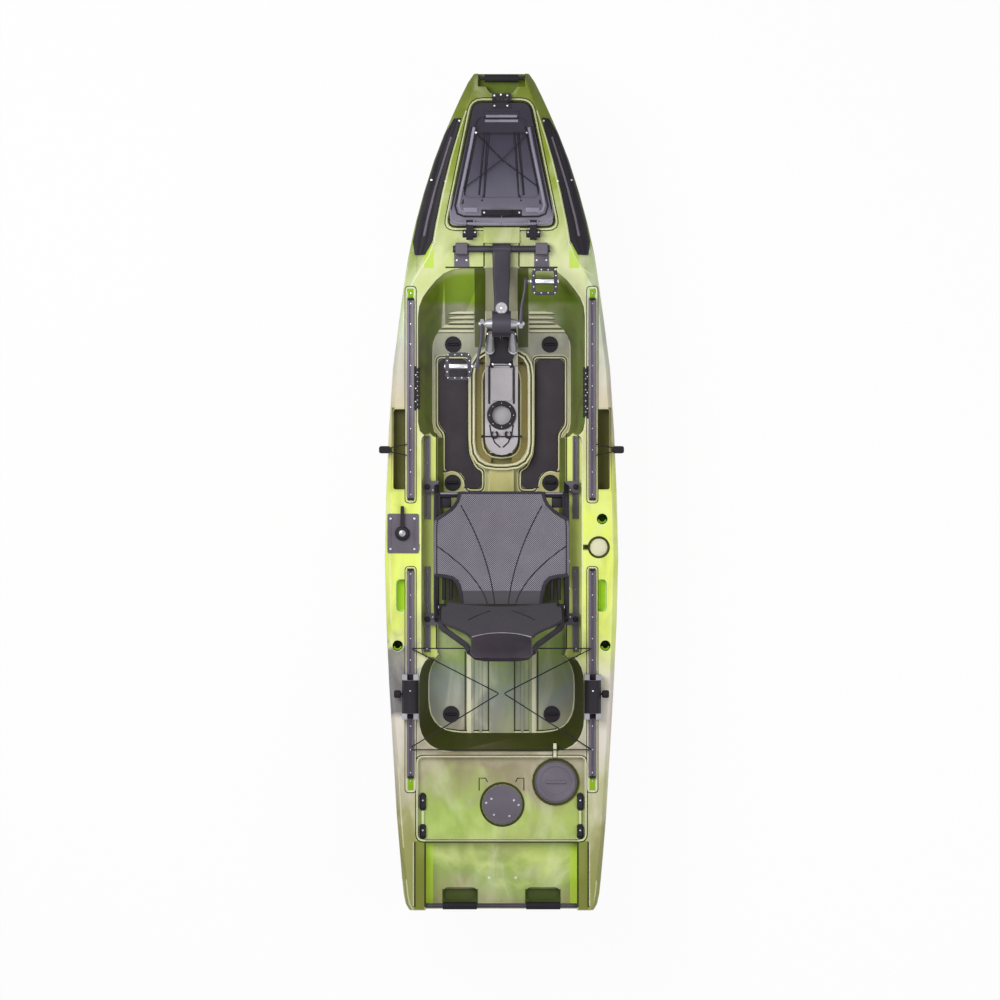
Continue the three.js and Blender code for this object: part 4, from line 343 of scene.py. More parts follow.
def hullFinish(name, pale=0.0):
    h = hullForm
    material, tree, shader = startFinish(name, tone(180, 200, 100), 0.42)
    spot = objectPlace(tree)
    x, y, z = apart(tree, spot)
    across = sums(tree, "ABSOLUTE", x)
    waves = {key: noise(tree, spot, *terms) for key, terms in h["noises"].items()}
    swirl, marble = waves["swirl"], waves["marble"]
    warped = sums(tree, "ADD", y, spread(tree, swirl, 0.25, 0.75, -0.12, 0.12))
    warped = sums(tree, "ADD", warped, spread(tree, marble, 0.3, 0.7, -0.05, 0.05))
    share = spread(tree, warped, *h["length"])
    deck, edge, floor = (ramp(tree, share, stopsAlong(h[key], *h["length"]))
        for key in ("deck", "edge", "floor"))
    distance = addNode(tree, "VectorMath", {0: spot, 1: h["drift"]}, operation="DISTANCE").outputs["Value"]
    waves["drift"] = sums(tree, "ADD", distance, spread(tree, marble, 0.3, 0.7, -0.1, 0.1))
    colour = blendColour(tree, spread(tree, across, 0.36, 0.38), deck, edge)
    colour = blendColour(tree, spread(tree, z, 0.24, 0.19, smooth=True), colour, floor)

    for key, low, high, most, shade in h["washes"]:
        colour = blendColour(tree, spread(tree, waves[key], low, high, 0.0, most, True), colour, tone(*shade))
    toes = h["toes"]
    for side, shade in toes["tones"].items():
        box = boxShare(tree, (times(tree, x, side), y, z), toes["box"], toes["soft"])
        colour = blendColour(tree, times(tree, box, toes["share"]), colour, tone(*shade))
    # painted shade on the steep inner walls
    wallShadeTone = ramp(tree, marble, stopsAlong(h["walls"]))
    colour = blendColour(tree, times(tree, paintedWallShade(tree, x, across, z), h["paintedWallShade"]), colour, wallShadeTone)
    # fields with their own tone; some of them are painted shade or painted light
    for wide, long, tall, shade, most in h["fields"]:
        box = boxShare(tree, (across, y, z), (wide if wide[0] else (-1.0, wide[1]), long, tall))
        colour = blendColour(tree, times(tree, box, most), colour, tone(*shade))
    if pale:
        colour = blendColour(tree, spread(tree, marble, 0.3, 0.7, pale, pale * 0.7), colour,
            tone(238, 236, 204))
    height = sums(tree, "ADD", times(tree, noise(tree, spot, 420.0, 3.0), 0.3), times(tree, swirl, 0.7))
    endFinish(tree, shader, colour, height, 0.25, 0.0016, spread(tree, marble, 0.3, 0.7, 0.34, 0.52))
    return material


# the hatch lid's grey with painted shading: painted shade towards the bow and a painted highlight where its
# rear edge turns up
lidShadingTones = [
    (1.16, (136, 132, 146)), (1.205, (120, 116, 130)), (1.25, (100, 96, 110)), (1.33, (88, 85, 100)),
    (1.42, (68, 64, 80)), (1.52, (55, 50, 66)), (1.6, (40, 36, 50)), (1.7, (46, 42, 54)),
]


def lidFinish(name):
    material, tree, shader = startFinish(name, tone(90, 88, 100), 0.46)
    spot = objectPlace(tree)
    patch = noise(tree, spot, 5.0, 4.0, 0.6)
    ends = (lidShadingTones[0][0], lidShadingTones[-1][0])
    warped = sums(tree, "ADD", apart(tree, spot)[1], spread(tree, patch, 0.3, 0.7, -0.02, 0.02))
    # painted shading along the lid
    colour = ramp(tree, spread(tree, warped, *ends), stopsAlong(lidShadingTones, *ends))
    rough = spread(tree, patch, 0.2, 0.8, 0.36, 0.56)
    endFinish(tree, shader, colour, noise(tree, spot, 900.0, 2.0), 0.35, 0.0003, rough)
    return material


def weaveFinish(name, dark, light, cell):
    material, tree, shader = startFinish(name, tone(*dark), 0.72, specular=0.5)
    uv = addNode(tree, "UVMap", uv_map="cloth").outputs[0]
    u, v, _ = apart(tree, uv)
    knots = times(tree, *(sums(tree, "SINE", times(tree, axis, 2 * pi / cell)) for axis in (u, v)))
    height = spread(tree, knots, -0.6, 0.8)
    mixed = sums(tree, "ADD", times(tree, height, 0.8), times(tree, noise(tree, uv, 9.0, 3.0), 0.2))
    endFinish(tree, shader, ramp(tree, mixed, stopsAlong([(0.25, dark), (0.9, light)])), height, 0.6, 0.0012)
    return material


def cordFinish(name):
    material, tree, shader = startFinish(name, tone(24, 24, 27), 0.62)
    values = {"Vector": objectPlace(tree), "Scale": 120.0, "Distortion": 1.0}
    wave = addNode(tree, "TexWave", values, bands_direction="DIAGONAL").outputs["Fac"]
    colour = ramp(tree, wave, stopsAlong([(0.3, (18, 18, 20)), (0.8, (56, 56, 62))]))
    endFinish(tree, shader, colour, wave, 0.5, 0.0006)
    return material


# name, dark and light tone, roughness, metallic, grain, depth of the grain, stretch
grainedFinishes = {
    "black": ("blackMouldedPlastic", (22, 20, 24), (46, 42, 50), 0.5),
    "slate": ("slatePlastic", (92, 86, 97), (116, 110, 122), 0.48),
    # a pale grey that paints highlights on the lid's rails and blocks and on the seat's front tube
    "frost": ("paintedHighlightGrey", (126, 122, 138), (152, 148, 164), 0.44),
    # a dark olive that paints the shade in grooves and gaps
    "groove": ("paintedGrooveShade", (44, 46, 12), (66, 70, 22), 0.6),
    "lime": ("limeRecess", (120, 164, 14), (146, 190, 24), 0.5),
    "bone": ("boneMoulding", (214, 212, 176), (232, 230, 202), 0.46),
    "grey": ("paleGreyPlastic", (166, 161, 166), (194, 189, 194), 0.42),
    "rubber": ("softRubber", (20, 18, 22), (42, 38, 44), 0.66, 0.0, 600.0, 0.0005),
    "metal": ("anodisedBlackMetal", (52, 49, 57), (84, 80, 90), 0.38, 0.4, 1400.0, 0.0001, (1, 0.2, 1)),
    "rail": ("railMetal", (84, 79, 90), (120, 114, 126), 0.34, 0.45, 1400.0, 0.0001, (1, 0.2, 1)),
    "silver": ("brushedSteel", (176, 178, 184), (226, 228, 232), 0.24, 0.9, 1600.0, 0.0001),
    "satin": ("satinGreyMetal", (128, 128, 134), (172, 172, 178), 0.32, 0.6, 1400.0, 0.0001),
    "pad": ("groovedFoam", (58, 52, 58), (78, 72, 78), 0.78, 0.0, 500.0, 0.0008),
    "fabric": ("bindingCloth", (40, 37, 42), (70, 66, 74), 0.8, 0.0, 1200.0, 0.0006),
    "padding": ("padCloth", (48, 42, 50), (70, 62, 72), 0.7, 0.0, 1500.0, 0.0004),
    "piping": ("palePiping", (150, 146, 152), (196, 192, 198), 0.6, 0.0, 1500.0, 0.0003),
}
finish = {key: grainedFinish(*terms) for key, terms in grainedFinishes.items()}
finish["hull"] = hullFinish("mottledHullPlastic")
# the hull's mottle washed pale: a painted highlight for the moulded rims and the pale beads
finish["rim"] = hullFinish("paintedRimHighlight", 0.6)
finish["lid"] = lidFinish("greyLidPaintedShading")
finish["mesh"] = weaveFinish("openSeatMesh", (60, 56, 64), (164, 158, 172), 0.0092)
finish["panel"] = weaveFinish("closeSeatCloth", (52, 48, 54), (84, 79, 88), 0.004)
finish["cord"] = cordFinish("braidedCord")
print("finishes ready")


# making and dressing pieces
def finishPiece(name, bm, look, body="hull", angle=38, outward=True):
    if outward:
        bmesh.ops.remove_doubles(bm, verts=bm.verts, dist=1e-6)
        bmesh.ops.recalc_face_normals(bm, faces=bm.faces)
    for face in bm.faces:
        face.smooth = True
    for edge in bm.edges:
        edge.smooth = len(edge.link_faces) == 2 and edge.calc_face_angle(0.0) < radians(angle)
    mesh = bpy.data.meshes.new(name)
    bm.to_mesh(mesh)
    bm.free()
    mesh.materials.append(finish[look])
    piece = placed(name, mesh)
    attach(piece, body)
    return piece


usualSlots = {
    "silver": ("steel", 30), "black": ("black_plastic", 40), "grey": ("grey_plastic", 40),
    "cord": ("mesh_fabric", 60),
    "fabric": ("mesh_fabric", 60), "piping": ("mesh_fabric", 60), "padding": ("mesh_fabric", 60),
}


# a piece made of several small forms: each row is the function that makes one and what that function is told
def fitting(name, look, rows, body="hull", angle=None):
    usual = usualSlots.get(look, ("hull_plastic", 40))
    bm = bmesh.new()
    for maker, *terms in rows:
        maker(bm, *terms)
    return finishPiece(name, bm, look, body, angle or usual[1])


def bevelEdges(bm, edges, width, segments=2, clamp=False):
    made = bmesh.ops.bevel(
        bm, geom=list(edges), offset=width, offset_type="OFFSET", affect="EDGES", segments=segments,
        profile=0.5, material=-1, clamp_overlap=clamp,
    )
    return made["faces"]


def sharpEdges(bm, angle):
    return [edge for edge in bm.edges if len(edge.link_faces) == 2
        and edge.calc_face_angle(0.0) > radians(angle)]


# whether a bevel of this width would slide too far along the edges beside this one
def slidesFar(edge, width):
    for vert in edge.verts:
        along = (edge.other_vert(vert).co - vert.co).normalized()
        for face in edge.link_faces:
            for other in vert.link_edges:
                if other is edge or face not in other.link_faces:
                    continue
                way = other.other_vert(vert).co - vert.co
                angle = along.angle(way.normalized(), 0.0)
                reach = width / max(sin(angle), 1e-4)
                if angle < radians(150) and reach > min(3.5 * width, way.length / 1.1):
                    return True
    return False


# the corners of the faces that a bevel has folded or thrown off the surface
def foldedSpots(bm, surface, width):
    spots = []
    for face in bm.faces:
        if face.calc_area() < 2e-9:
            continue
        middle = face.calc_center_median()
        _, normal, _, distance = surface.find_nearest(middle)
        if distance < width and face.normal.dot(normal) > 0.2:
            continue
        near = surface.find_nearest_range(middle, width) if distance < width else []
        if not any(face.normal.dot(hit[1]) > 0.2 for hit in near):
            spots += [vert.co.copy() for vert in face.verts]
    return spots


# bevels every sharp edge of a large moulding that can take it without a fold; the new faces get material 1
def bevelMoulding(bm, width, segments, angle):
    surface = BVHTree.FromBMesh(bm)
    bm.edges.ensure_lookup_table()
    chosen = {edge.index for edge in sharpEdges(bm, angle) if not slidesFar(edge, width)}
    for _ in range(12):
        trial = bm.copy()
        trial.edges.ensure_lookup_table()
        for face in bevelEdges(trial, [trial.edges[i] for i in chosen], width, segments):
            face.material_index = 1
        test = trial.copy()
        bmesh.ops.triangulate(test, faces=test.faces)
        test.normal_update()
        spots = foldedSpots(test, surface, width)
        test.free()
        if not spots:
            break
        ends = [(vert.co.copy(), i) for i in chosen for vert in bm.edges[i].verts]
        tree = KDTree(len(ends))
        for number, (spot, _) in enumerate(ends):
            tree.insert(spot, number)
        tree.balance()
        drop = {ends[number][1] for spot in spots for _, number, _ in tree.find_range(spot, width * 2.2)}
        chosen -= drop or {ends[tree.find(spot)[1]][1] for spot in spots}
        trial.free()
    bm.free()
    return trial


def camel(node):
    words = node.split("_")
    return words[0] + "".join(word.capitalize() for word in words[1:])


nodeBody = {node: body for body, nodes in frame["record"]["behaviour"]["bodies"].items() for node in nodes}
dressed = {}


def dressNode(node, look, width, segments, angle=32, moulding=False):
    bm = bmesh.new()
    bm.from_mesh(frame["nodes"][node].data)
    bmesh.ops.remove_doubles(bm, verts=bm.verts, dist=2e-5)
    bmesh.ops.dissolve_degenerate(bm, edges=bm.edges, dist=1e-5)
    bmesh.ops.dissolve_limit(bm, angle_limit=radians(0.7), verts=bm.verts, edges=bm.edges)
    if moulding:
        bm = bevelMoulding(bm, width, segments, angle)
    elif width:
        bevelEdges(bm, sharpEdges(bm, angle), width, segments, True)
    piece = finishPiece(camel(node), bm, look, nodeBody[node], outward=False)
    piece.modifiers.new("evenShading", "WEIGHTED_NORMAL").keep_sharp = True
    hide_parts(node)
    dressed[node] = piece
    return piece


sides = (-1, 1)
sideWords = ((1, "Right"), (-1, "Left"))
pictureForm = {"middle": (501.5, 492.7), "scale": 0.00438}


def place(px, py):  # a point of the picture as metres
    middle, scale = pictureForm["middle"], pictureForm["scale"]
    return ((px - middle[0]) * scale, (middle[1] - py) * scale)


def mirrored(spots):
    return [(2 * pictureForm["middle"][0] - px, py) for px, py in spots]


def deckHeight(y):
    return 0.33 + max(0.0, y - 0.9) * 0.1


def about(middle, half):
    return middle - half, middle + half


def arc(centre, radius, count, step, start=0.0):
    x, y, z = centre
    angles = [start + step * number for number in range(count)]
    return [(x + radius * cos(angle), y + radius * sin(angle), z) for angle in angles]


def turned(axis):
    return Vector(axis).to_track_quat("Z", "Y").to_matrix().to_4x4()


def sweep(bm, points, radius, sides=10, flat=1.0, closed=False):
    at = [Vector(point) for point in points]
    count = len(at)
    rings = []
    for i, here in enumerate(at):
        before = at[i - 1] if i or closed else here
        after = at[(i + 1) % count] if i + 1 < count or closed else here
        ring = bmesh.ops.create_circle(bm, segments=sides, radius=radius, cap_ends=False)["verts"]
        bmesh.ops.scale(bm, vec=(1, flat, 1), verts=ring)
        matrix = Matrix.Translation(here) @ turned((after - before).normalized())
        bmesh.ops.transform(bm, matrix=matrix, verts=ring)
        rings.append((ring, {edge for vert in ring for edge in vert.link_edges}))
    pairs = list(zip(rings, rings[1:])) + ([(rings[-1], rings[0])] if closed else [])
    for (_, first), (_, second) in pairs:
        bmesh.ops.bridge_loops(bm, edges=list(first | second))
    if not closed:
        for ring, _ in (rings[0], rings[-1]):
            bmesh.ops.contextual_create(bm, geom=ring)


def drum(bm, centre, radius, height, sides=28, edge=0.0, axis=(0, 0, 1)):
    matrix = Matrix.Translation(Vector(centre)) @ turned(axis)
    made = bmesh.ops.create_cone(
        bm, cap_ends=True, segments=sides, radius1=radius, radius2=radius, depth=height, matrix=matrix,
    )["verts"]
    if edge:
        bevelEdges(bm, {e for vert in made for e in vert.link_edges if e.calc_face_angle(0.0) > radians(50)},
            edge)


# a block: its middle and half width across, its ends along, its bottom and top
def brick(bm, x, half, along, up, edge=0.0, turn=None):
    middle = Matrix.Translation((x, sum(along) / 2, sum(up) / 2)) @ (turn or Matrix.Identity(4))
    size = Matrix.Diagonal((2 * half, along[1] - along[0], up[1] - up[0], 1))
    made = bmesh.ops.create_cube(bm, size=1, matrix=middle @ size)["verts"]
    if edge:
        bevelEdges(bm, {e for vert in made for e in vert.link_edges}, edge)


headForm = {"sides": 14, "top": 0.62, "height": 0.7, "slotLift": 0.33, "slot": (0.9, 0.2, 0.12)}


def screwHead(bm, centre, radius, axis=(0, 0, 1)):
    h = headForm
    at = Matrix.Translation(Vector(centre)) @ turned(axis)
    bmesh.ops.create_cone(
        bm, cap_ends=True, segments=h["sides"], radius1=radius, radius2=radius * h["top"],
        depth=radius * h["height"], matrix=at,
    )
    size = Matrix.Diagonal((*(radius * share for share in h["slot"]), 1))
    for angle in (0, pi / 2):
        bar = at @ Matrix.Translation((0, 0, radius * h["slotLift"])) @ Matrix.Rotation(angle, 4, "Z") @ size
        bmesh.ops.create_cube(bm, size=1, matrix=bar)


# CAD nodes that keep their shape, with softened edges: look, width and segments of the bevel, nodes
plainNodes = [
    ("lid", 0.0025, 3, "bow_hatch_lid"),
    ("black", 0.0005, 1, "propeller"),
    ("black", 0.0006, 1, "cover_hooks"),
    ("black", 0.0008, 1, "seat_frame back_frame"),
    ("black", 0.001, 2, "hatch_hinge_leaf rudder"),
    ("black", 0.0012, 2, "hatch_hinge_base leg_flange cover_cup"),
    ("black", 0.0014, 2, "latch_left latch_right"),
    ("black", 0.0016, 2, "bow_side_panel_left bow_side_panel_right"),
    ("black", 0.0016, 2, "track_mount_left track_mount_right steering_lever"),
    ("rubber", 0.0008, 1, "hatch_seal"),
    ("rubber", 0.0012, 2, "lid_handle"),
    ("rubber", 0.0014, 2, "mount_knob_left mount_knob_right"),
    ("rubber", 0.0016, 2, "bow_grip stern_carry_bar side_toggle_left side_toggle_right"),
    ("metal", 0.001, 2, "drive_leg"),
    ("metal", 0.0012, 2, "crossbar gearcase pedal_left pedal_right"),
    ("metal", 0.0014, 2, "crank_left crank_right"),
    ("metal", 0.002, 2, "drive_head"),
    ("metal", 0.003, 3, "drive_arm"),
    ("silver", 0.0, 0, "crank_axle drive_shaft prop_shaft"),
    ("silver", 0.0005, 1, "cover_hinge_pin"),
    ("slate", 0.001, 2, "round_hatch_ring mounting_plate"),
    ("slate", 0.0012, 2, "round_hatch_lid steering_plate"),
    ("slate", 0.0016, 2, "bar_clamp_left bar_clamp_right"),
    ("grey", 0.0014, 2, "well_cover"),
    ("cord", 0.0, 0, "lid_bungee tankwell_bungee"),
    ("pad", 0.0012, 2, "floor_pad_left floor_pad_right"),
    ("rail", 0.0008, 2, "gear_rail_front_left gear_rail_rear_left seat_rail_front_left seat_rail_rear_left"),
    ("rail", 0.0008, 2, "gear_rail_front_right gear_rail_rear_right"),
    ("rail", 0.0008, 2, "seat_rail_front_right seat_rail_rear_right"),
]
for look, width, segments, nodes in plainNodes:
    for node in nodes.split():
        dressNode(node, look, width, segments)
hullPiece = dressNode("hull", "hull", 0.0035, 3, 35, True)
hullPiece.data.materials.append(finish["rim"])
# the bevelled rims take the painted rim highlight, except inside the rear well and at the two ends of the
# hull
for face in hullPiece.data.polygons:
    spot = face.center
    inWell = abs(spot.x) < 0.36 and -1.14 < spot.y < -1.03 and spot.z < 0.3275
    if face.material_index and (inWell or spot.y > 1.63 or (spot.y < -1.54 and spot.z < 0.31)):
        face.material_index = 0
# the rudder's post runs free in the rounded bottom of its bore
postForm = {"y": -1.742, "radius": 0.0125, "share": 0.965, "end": 0.003, "drop": 0.004}
post = dressed["rudder"].data
postTop = max(vert.co.z for vert in post.vertices)
for vert in post.vertices:
    away = Vector((vert.co.x, vert.co.y - postForm["y"]))
    if away.length < postForm["radius"] and vert.co.z > 0.0:
        vert.co.x = away.x * postForm["share"]
        vert.co.y = postForm["y"] + away.y * postForm["share"]
        if vert.co.z > postTop - postForm["end"]:
            vert.co.z -= postForm["drop"]
print("nodes dressed")

bpy.context.view_layer.update()
seen = bpy.context.evaluated_depsgraph_get()


# the surface and its normal below a point of the dressed nodes
def topAt(x, y):
    hit, spot, normal, _, _, _ = bpy.context.scene.ray_cast(seen, Vector((x, y, 1.5)), Vector((0, 0, -1)))
    return (spot, normal) if hit and spot.z > 0 else (Vector((x, y, 0.33)), Vector((0, 0, 1)))


def topUnder(point, lift=0.0):  # the same under a point of the picture
    return topAt(*place(*point))[0] + Vector((0, 0, lift))


def secondFinish(node, look, test):
    mesh = dressed[node].data
    mesh.materials.append(finish[look])
    number = len(mesh.materials) - 1
    for face in mesh.polygons:
        if test(face.center):
            face.material_index = number


def within(spot, x, y, radius):
    return hypot(spot.x - x, spot.y - y) < radius


# parts of a node that are moulded or painted in a second finish
plugForm = {
    "radius": 0.0385, "lift": 0.0004, "height": 0.03,
    "spots": [(side * x, y, z) for side in sides for x, y, z in (
        (0.214, 0.656, 0.12), (0.216, 0.044, 0.12), (0.222, -0.977, 0.175))],
}
secondFinish("hull", "black", lambda spot: any(
    within(spot, x, y, plugForm["radius"]) and z + plugForm["lift"] < spot.z < z + plugForm["height"]
    for x, y, z in plugForm["spots"]))
secondFinish("hull", "black", lambda spot: (
    0.107 < abs(spot.x) < 0.171 and 1.116 < spot.y < 1.152 and spot.z > deckHeight(spot.y) + 0.0006))
secondFinish("drive_arm", "grey", lambda spot: within(spot, 0, 0.802, 0.0262) and spot.z > 0.4805)
secondFinish("drive_head", "satin", lambda spot: abs(spot.x) > 0.0412)
secondFinish("leg_flange", "satin", lambda spot: spot.z > 0.2135)
secondFinish("cover_cup", "grey", lambda spot: within(spot, 0, 0.342, 0.041) and spot.z < 0.168)
secondFinish("seat_frame", "slate", lambda spot: abs(spot.x) > 0.292)
secondFinish("steering_lever", "satin", lambda spot: within(spot, -0.434, -0.178, 0.0165) and spot.z > 0.356)
# the outer part of the round hatch's ring is painted shade
secondFinish("round_hatch_ring", "groove", lambda spot: not within(spot, 0.238, -1.268, 0.0935))
secondFinish("bow_grip", "black", lambda spot: abs(spot.x) > 0.0745)
secondFinish("stern_carry_bar", "metal", lambda spot: not 0.107 < abs(spot.x) < 0.259)
for word in ("left", "right"):
    secondFinish("crank_" + word, "satin", lambda spot: abs(spot.y - 0.735) < 0.02 or abs(spot.x) > 0.115)
    secondFinish("track_mount_" + word, "satin", lambda spot: not -0.9635 < spot.y < -0.8185)
print("second finishes painted")

# bright screw heads: body, radius, places in the picture
screwRows = {
    "hatchHingeScrews": ("hull", 0.0062, [(494.4, 97.6), (500.7, 96.9), (507.3, 97.6)]),
    "hatchLeafScrews": ("bow_hatch", 0.0062, [(494.4, 107.8), (507.3, 107.8)]),
    "lidHandleScrews": ("bow_hatch", 0.0062, [(484.2, 213.4), (519.2, 213.4)]),
    "lidCordScrews": ("bow_hatch", 0.007, [(476.0, 134.2), (526.6, 134.2), (461.8, 190.4), (541.4, 190.4)]),
    "keeperScrews": ("hull", 0.006, [(464.6, 233.0), (475.0, 233.0), (528.0, 233.0), (538.4, 233.0)]),
    "clampScrews": ("hull", 0.0064, [(456.8, 260.4), (466.6, 260.4), (536.6, 260.4), (546.2, 260.4)]),
    "sidePanelScrews": ("hull", 0.0062, [
        (459.4, 122.0), (431.6, 180.0), (445.0, 181.7), (434.2, 243.6), (413.4, 250.6),
        (543.6, 122.0), (558.0, 181.7), (571.4, 180.0), (568.8, 243.6), (589.6, 250.6)]),
    "railScrews": ("hull", 0.0046, [(px, py) for px in (410.6, 592.4) for py in (
        303.5, 324, 344.0, 365.5, 386, 407, 428.6, 450, 472, 494.5,
        574.0, 595, 617, 638.6, 660, 690, 726, 749.6, 772.5)]),
    "seatRailScrews": ("hull", 0.004, [(px, py) for px in (427.1, 575.9)
        for py in (440, 463, 572, 590, 606, 648)]),
    "steeringPlateScrews": ("hull", 0.0074, [(390.6, 518.6), (414.4, 518.6), (390.6, 549.0), (414.4, 549.0)]),
    "mountingPlateScrews": ("hull", 0.0074, [
        (486.2, 803.0), (491.4, 799.0), (513.9, 800.5), (518.6, 805.2), (493.9, 815.0), (509.4, 816.3)]),
    "coverRingScrews": ("well_cover", 0.0028, [spot[:2] for spot in arc((501.5, 414.6, 0), 12.1, 8, pi / 4)]),
}
sunkScrews = {"seatRailScrews": 0.0023}  # flush heads, which the seat slides over
for name, (body, radius, spots) in screwRows.items():
    rows = []
    for spot, normal in (topAt(*place(*point)) for point in spots):
        normal = normal if normal.z > 0.5 else Vector((0, 0, 1))
        lift = radius * 0.2 - sunkScrews.get(name, 0.0)
        rows.append((screwHead, spot + normal * lift, radius, normal))
    fitting(name, "silver", rows, body)
print("screws set")


# beads along pads, rails and wells of the hull: pale ones as painted highlights, dark ones as painted shade
# in grooves
def smoothed(corners, radius, steps=4, closed=True):
    points = []
    count = len(corners)
    for i, corner in enumerate(corners):
        here = Vector(corner)
        if not closed and i in (0, count - 1):
            points.append(here)
            continue
        before = Vector(corners[i - 1]) - here
        after = Vector(corners[(i + 1) % count]) - here
        reach = min(radius, before.length * 0.45, after.length * 0.45)
        start, end = here + before.normalized() * reach, here + after.normalized() * reach
        for step in range(steps + 1):
            share = step / steps
            points.append(start.lerp(here, share).lerp(here.lerp(end, share), share))
    return points


# a loop that runs anticlockwise, moved outwards
def outset(loop, distance):
    moved = []
    for i, corner in enumerate(loop):
        here = Vector(corner)
        a = (here - Vector(loop[i - 1])).normalized()
        b = (Vector(loop[(i + 1) % len(loop)]) - here).normalized()
        bend = 1 + a.dot(b)
        moved.append((here.x + distance * (a.y + b.y) / bend, here.y - distance * (a.x + b.x) / bend))
    return moved


def anticlockwise(loop):
    total = sum(a[0] * b[1] - b[0] * a[1] for a, b in zip(loop, loop[1:] + loop[:1]))
    return loop if total > 0 else loop[::-1]


def rectangle(x0, x1, y0, y1):
    return [(x0, y0), (x1, y0), (x1, y1), (x0, y1)]


def level(z):
    return lambda y: z


def onDeck(y):
    return deckHeight(y) + 0.0004


beadForm = {"sides": 8, "flat": 0.7, "angle": 60, "leastCorner": 0.004}


# lines that run side by side round an outline: how far out, look, radius
def lineSet(name, outline, height, lines, corner=0.02):
    b = beadForm
    for number, (out, look, radius) in enumerate(lines):
        points = [(x, y, height(y)) for x, y in outset(anticlockwise(outline), out)]
        path = smoothed(points, max(b["leastCorner"], corner + out))
        fitting(name + str(number + 1), look, [(sweep, path, radius, b["sides"], b["flat"], True)],
            angle=b["angle"])


padForm = {
    "outline": [
        (0.144, 0.25), (0.139, 0.17), (0.112, 0.112), (0.083, 0.096), (0.083, 0.012),
        (0.152, 0.012), (0.16, 0.066), (0.19, 0.098), (0.22, 0.106), (0.254, 0.096),
        (0.254, 0.262), (0.284, 0.296), (0.284, 0.598), (0.144, 0.598),
    ],
    "lines": [
        (-0.005, "groove", 0.0028), (0.0, "rim", 0.004), (0.0056, "groove", 0.0026), (0.0112, "rim", 0.0038),
    ],
    "z": 0.1208,
}
toeForm = {
    "first": 0.716, "pitch": 0.02, "inner": 0.121, "outer": 0.294, "taper": 0.011, "probe": 0.2,
    # the dark bands between the toe ribs are painted shade
    "kinds": (("toeRibs", "bone", 0.006, 0.003), ("toeGrooves", "groove", 0.0094, 0.0008)),
}
railForm = {
    "x": 0.398, "half": 0.0195, "slotHalf": 0.012, "slotUp": (0.3296, 0.3312),
    "lip": [(0.0, "rim", 0.0036), (0.005, "groove", 0.002)],
    "ends": (("Front", -0.04, 0.899, (0.853, 0.893)), ("Rear", -1.309, -0.328, (-1.303, -1.251))),
    "studs": (0.874, -0.033, -0.333, -1.262), "studZ": 0.3335,
}
for side, word in sideWords:
    outline = [(side * x, y) for x, y in padForm["outline"]]
    lineSet("padLine" + word, outline, level(padForm["z"]), padForm["lines"])
    grounds = [topAt(side * toeForm["probe"], toeForm["first"] + row * toeForm["pitch"])[0]
        for row in range(5)]
    for name, look, half, lift in toeForm["kinds"]:
        rows = []
        for row, spot in enumerate(grounds):
            ends = (toeForm["inner"], toeForm["outer"] - toeForm["taper"] * row)
            up = (spot.z - 0.004, spot.z + lift)
            middle, width = side * sum(ends) / 2, (ends[1] - ends[0]) / 2
            rows.append((brick, middle, width, about(spot.y, half), up, 0.0008))
        fitting(name + word, look, rows, angle=60)
    x = side * railForm["x"]
    for end, low, high, tail in railForm["ends"]:
        ring = rectangle(*about(x, railForm["half"]), low, high)
        lineSet("railLip" + end + word, ring, onDeck, railForm["lip"], corner=0.012)
    fitting("railSlots" + word, "lime", [
        (brick, x, railForm["slotHalf"], tail, railForm["slotUp"], 0.0006)
        for _, _, _, tail in railForm["ends"]])
    fitting("railSlotStuds" + word, "silver", [
        (screwHead, (x, y, railForm["studZ"]), 0.005) for y in railForm["studs"]])

# raised rails and blocks on the hatch lid in a painted highlight grey, and dark lines of painted shade beside
# its rails and ribs, by their places in the picture
lidLines = {
    "lidRails": ("frost", 0.0062, 0.5, [
        [(474.2, 129), (471.0, 146), (466.4, 168), (461.8, 190), (458.6, 206), (460.4, 211.5),
            (465.5, 213.4)],
        [(486, 118.0), (494, 118.0), (508, 118.0), (517, 118.0)],
        [(485, 122.4), (494, 122.4), (508, 122.4), (518, 122.4)],
        [(452.4, 196), (450.6, 210), (451.4, 219), (456.0, 223.4), (470, 224.4), (501, 224.6)]]),
    "lidRailShades": ("black", 0.0042, 0.6, [
        [(478.0, 128), (474.4, 146), (469.8, 168), (465.2, 190), (462.6, 205)],
        [(471.2, 128), (467.8, 146), (463.2, 168), (458.6, 190), (455.2, 207), (457.6, 214.6), (464, 217.2),
            (501, 217.6)],
        [(484.5, 120.2), (494, 120.2), (508, 120.2), (518.5, 120.2)],
        [(484.6, 133.5), (482.2, 160), (479.2, 196)],
        [(489.2, 133.5), (487.0, 160), (484.2, 196), (481.8, 202)]]),
}
for name, (look, radius, flat, lines) in lidLines.items():
    paths = []
    for line in lines:
        paths += [line] if line[0][1] == line[-1][1] else [line, mirrored(line)]
    fitting(name, look, [
        (sweep, [topUnder(point, 0.0006) for point in path], radius, 8, flat) for path in paths
    ], "bow_hatch", 60)
spots = [topUnder((px, 210.8)) for px in (470.6, 532.4)]
tilt = Matrix.Rotation(atan(0.1), 4, "X")
fitting("lidBlocks", "frost", [
    (brick, spot.x, 0.031, about(spot.y, 0.011), (spot.z - 0.002, spot.z + 0.006), 0.0025, tilt)
    for spot in spots
], "bow_hatch")

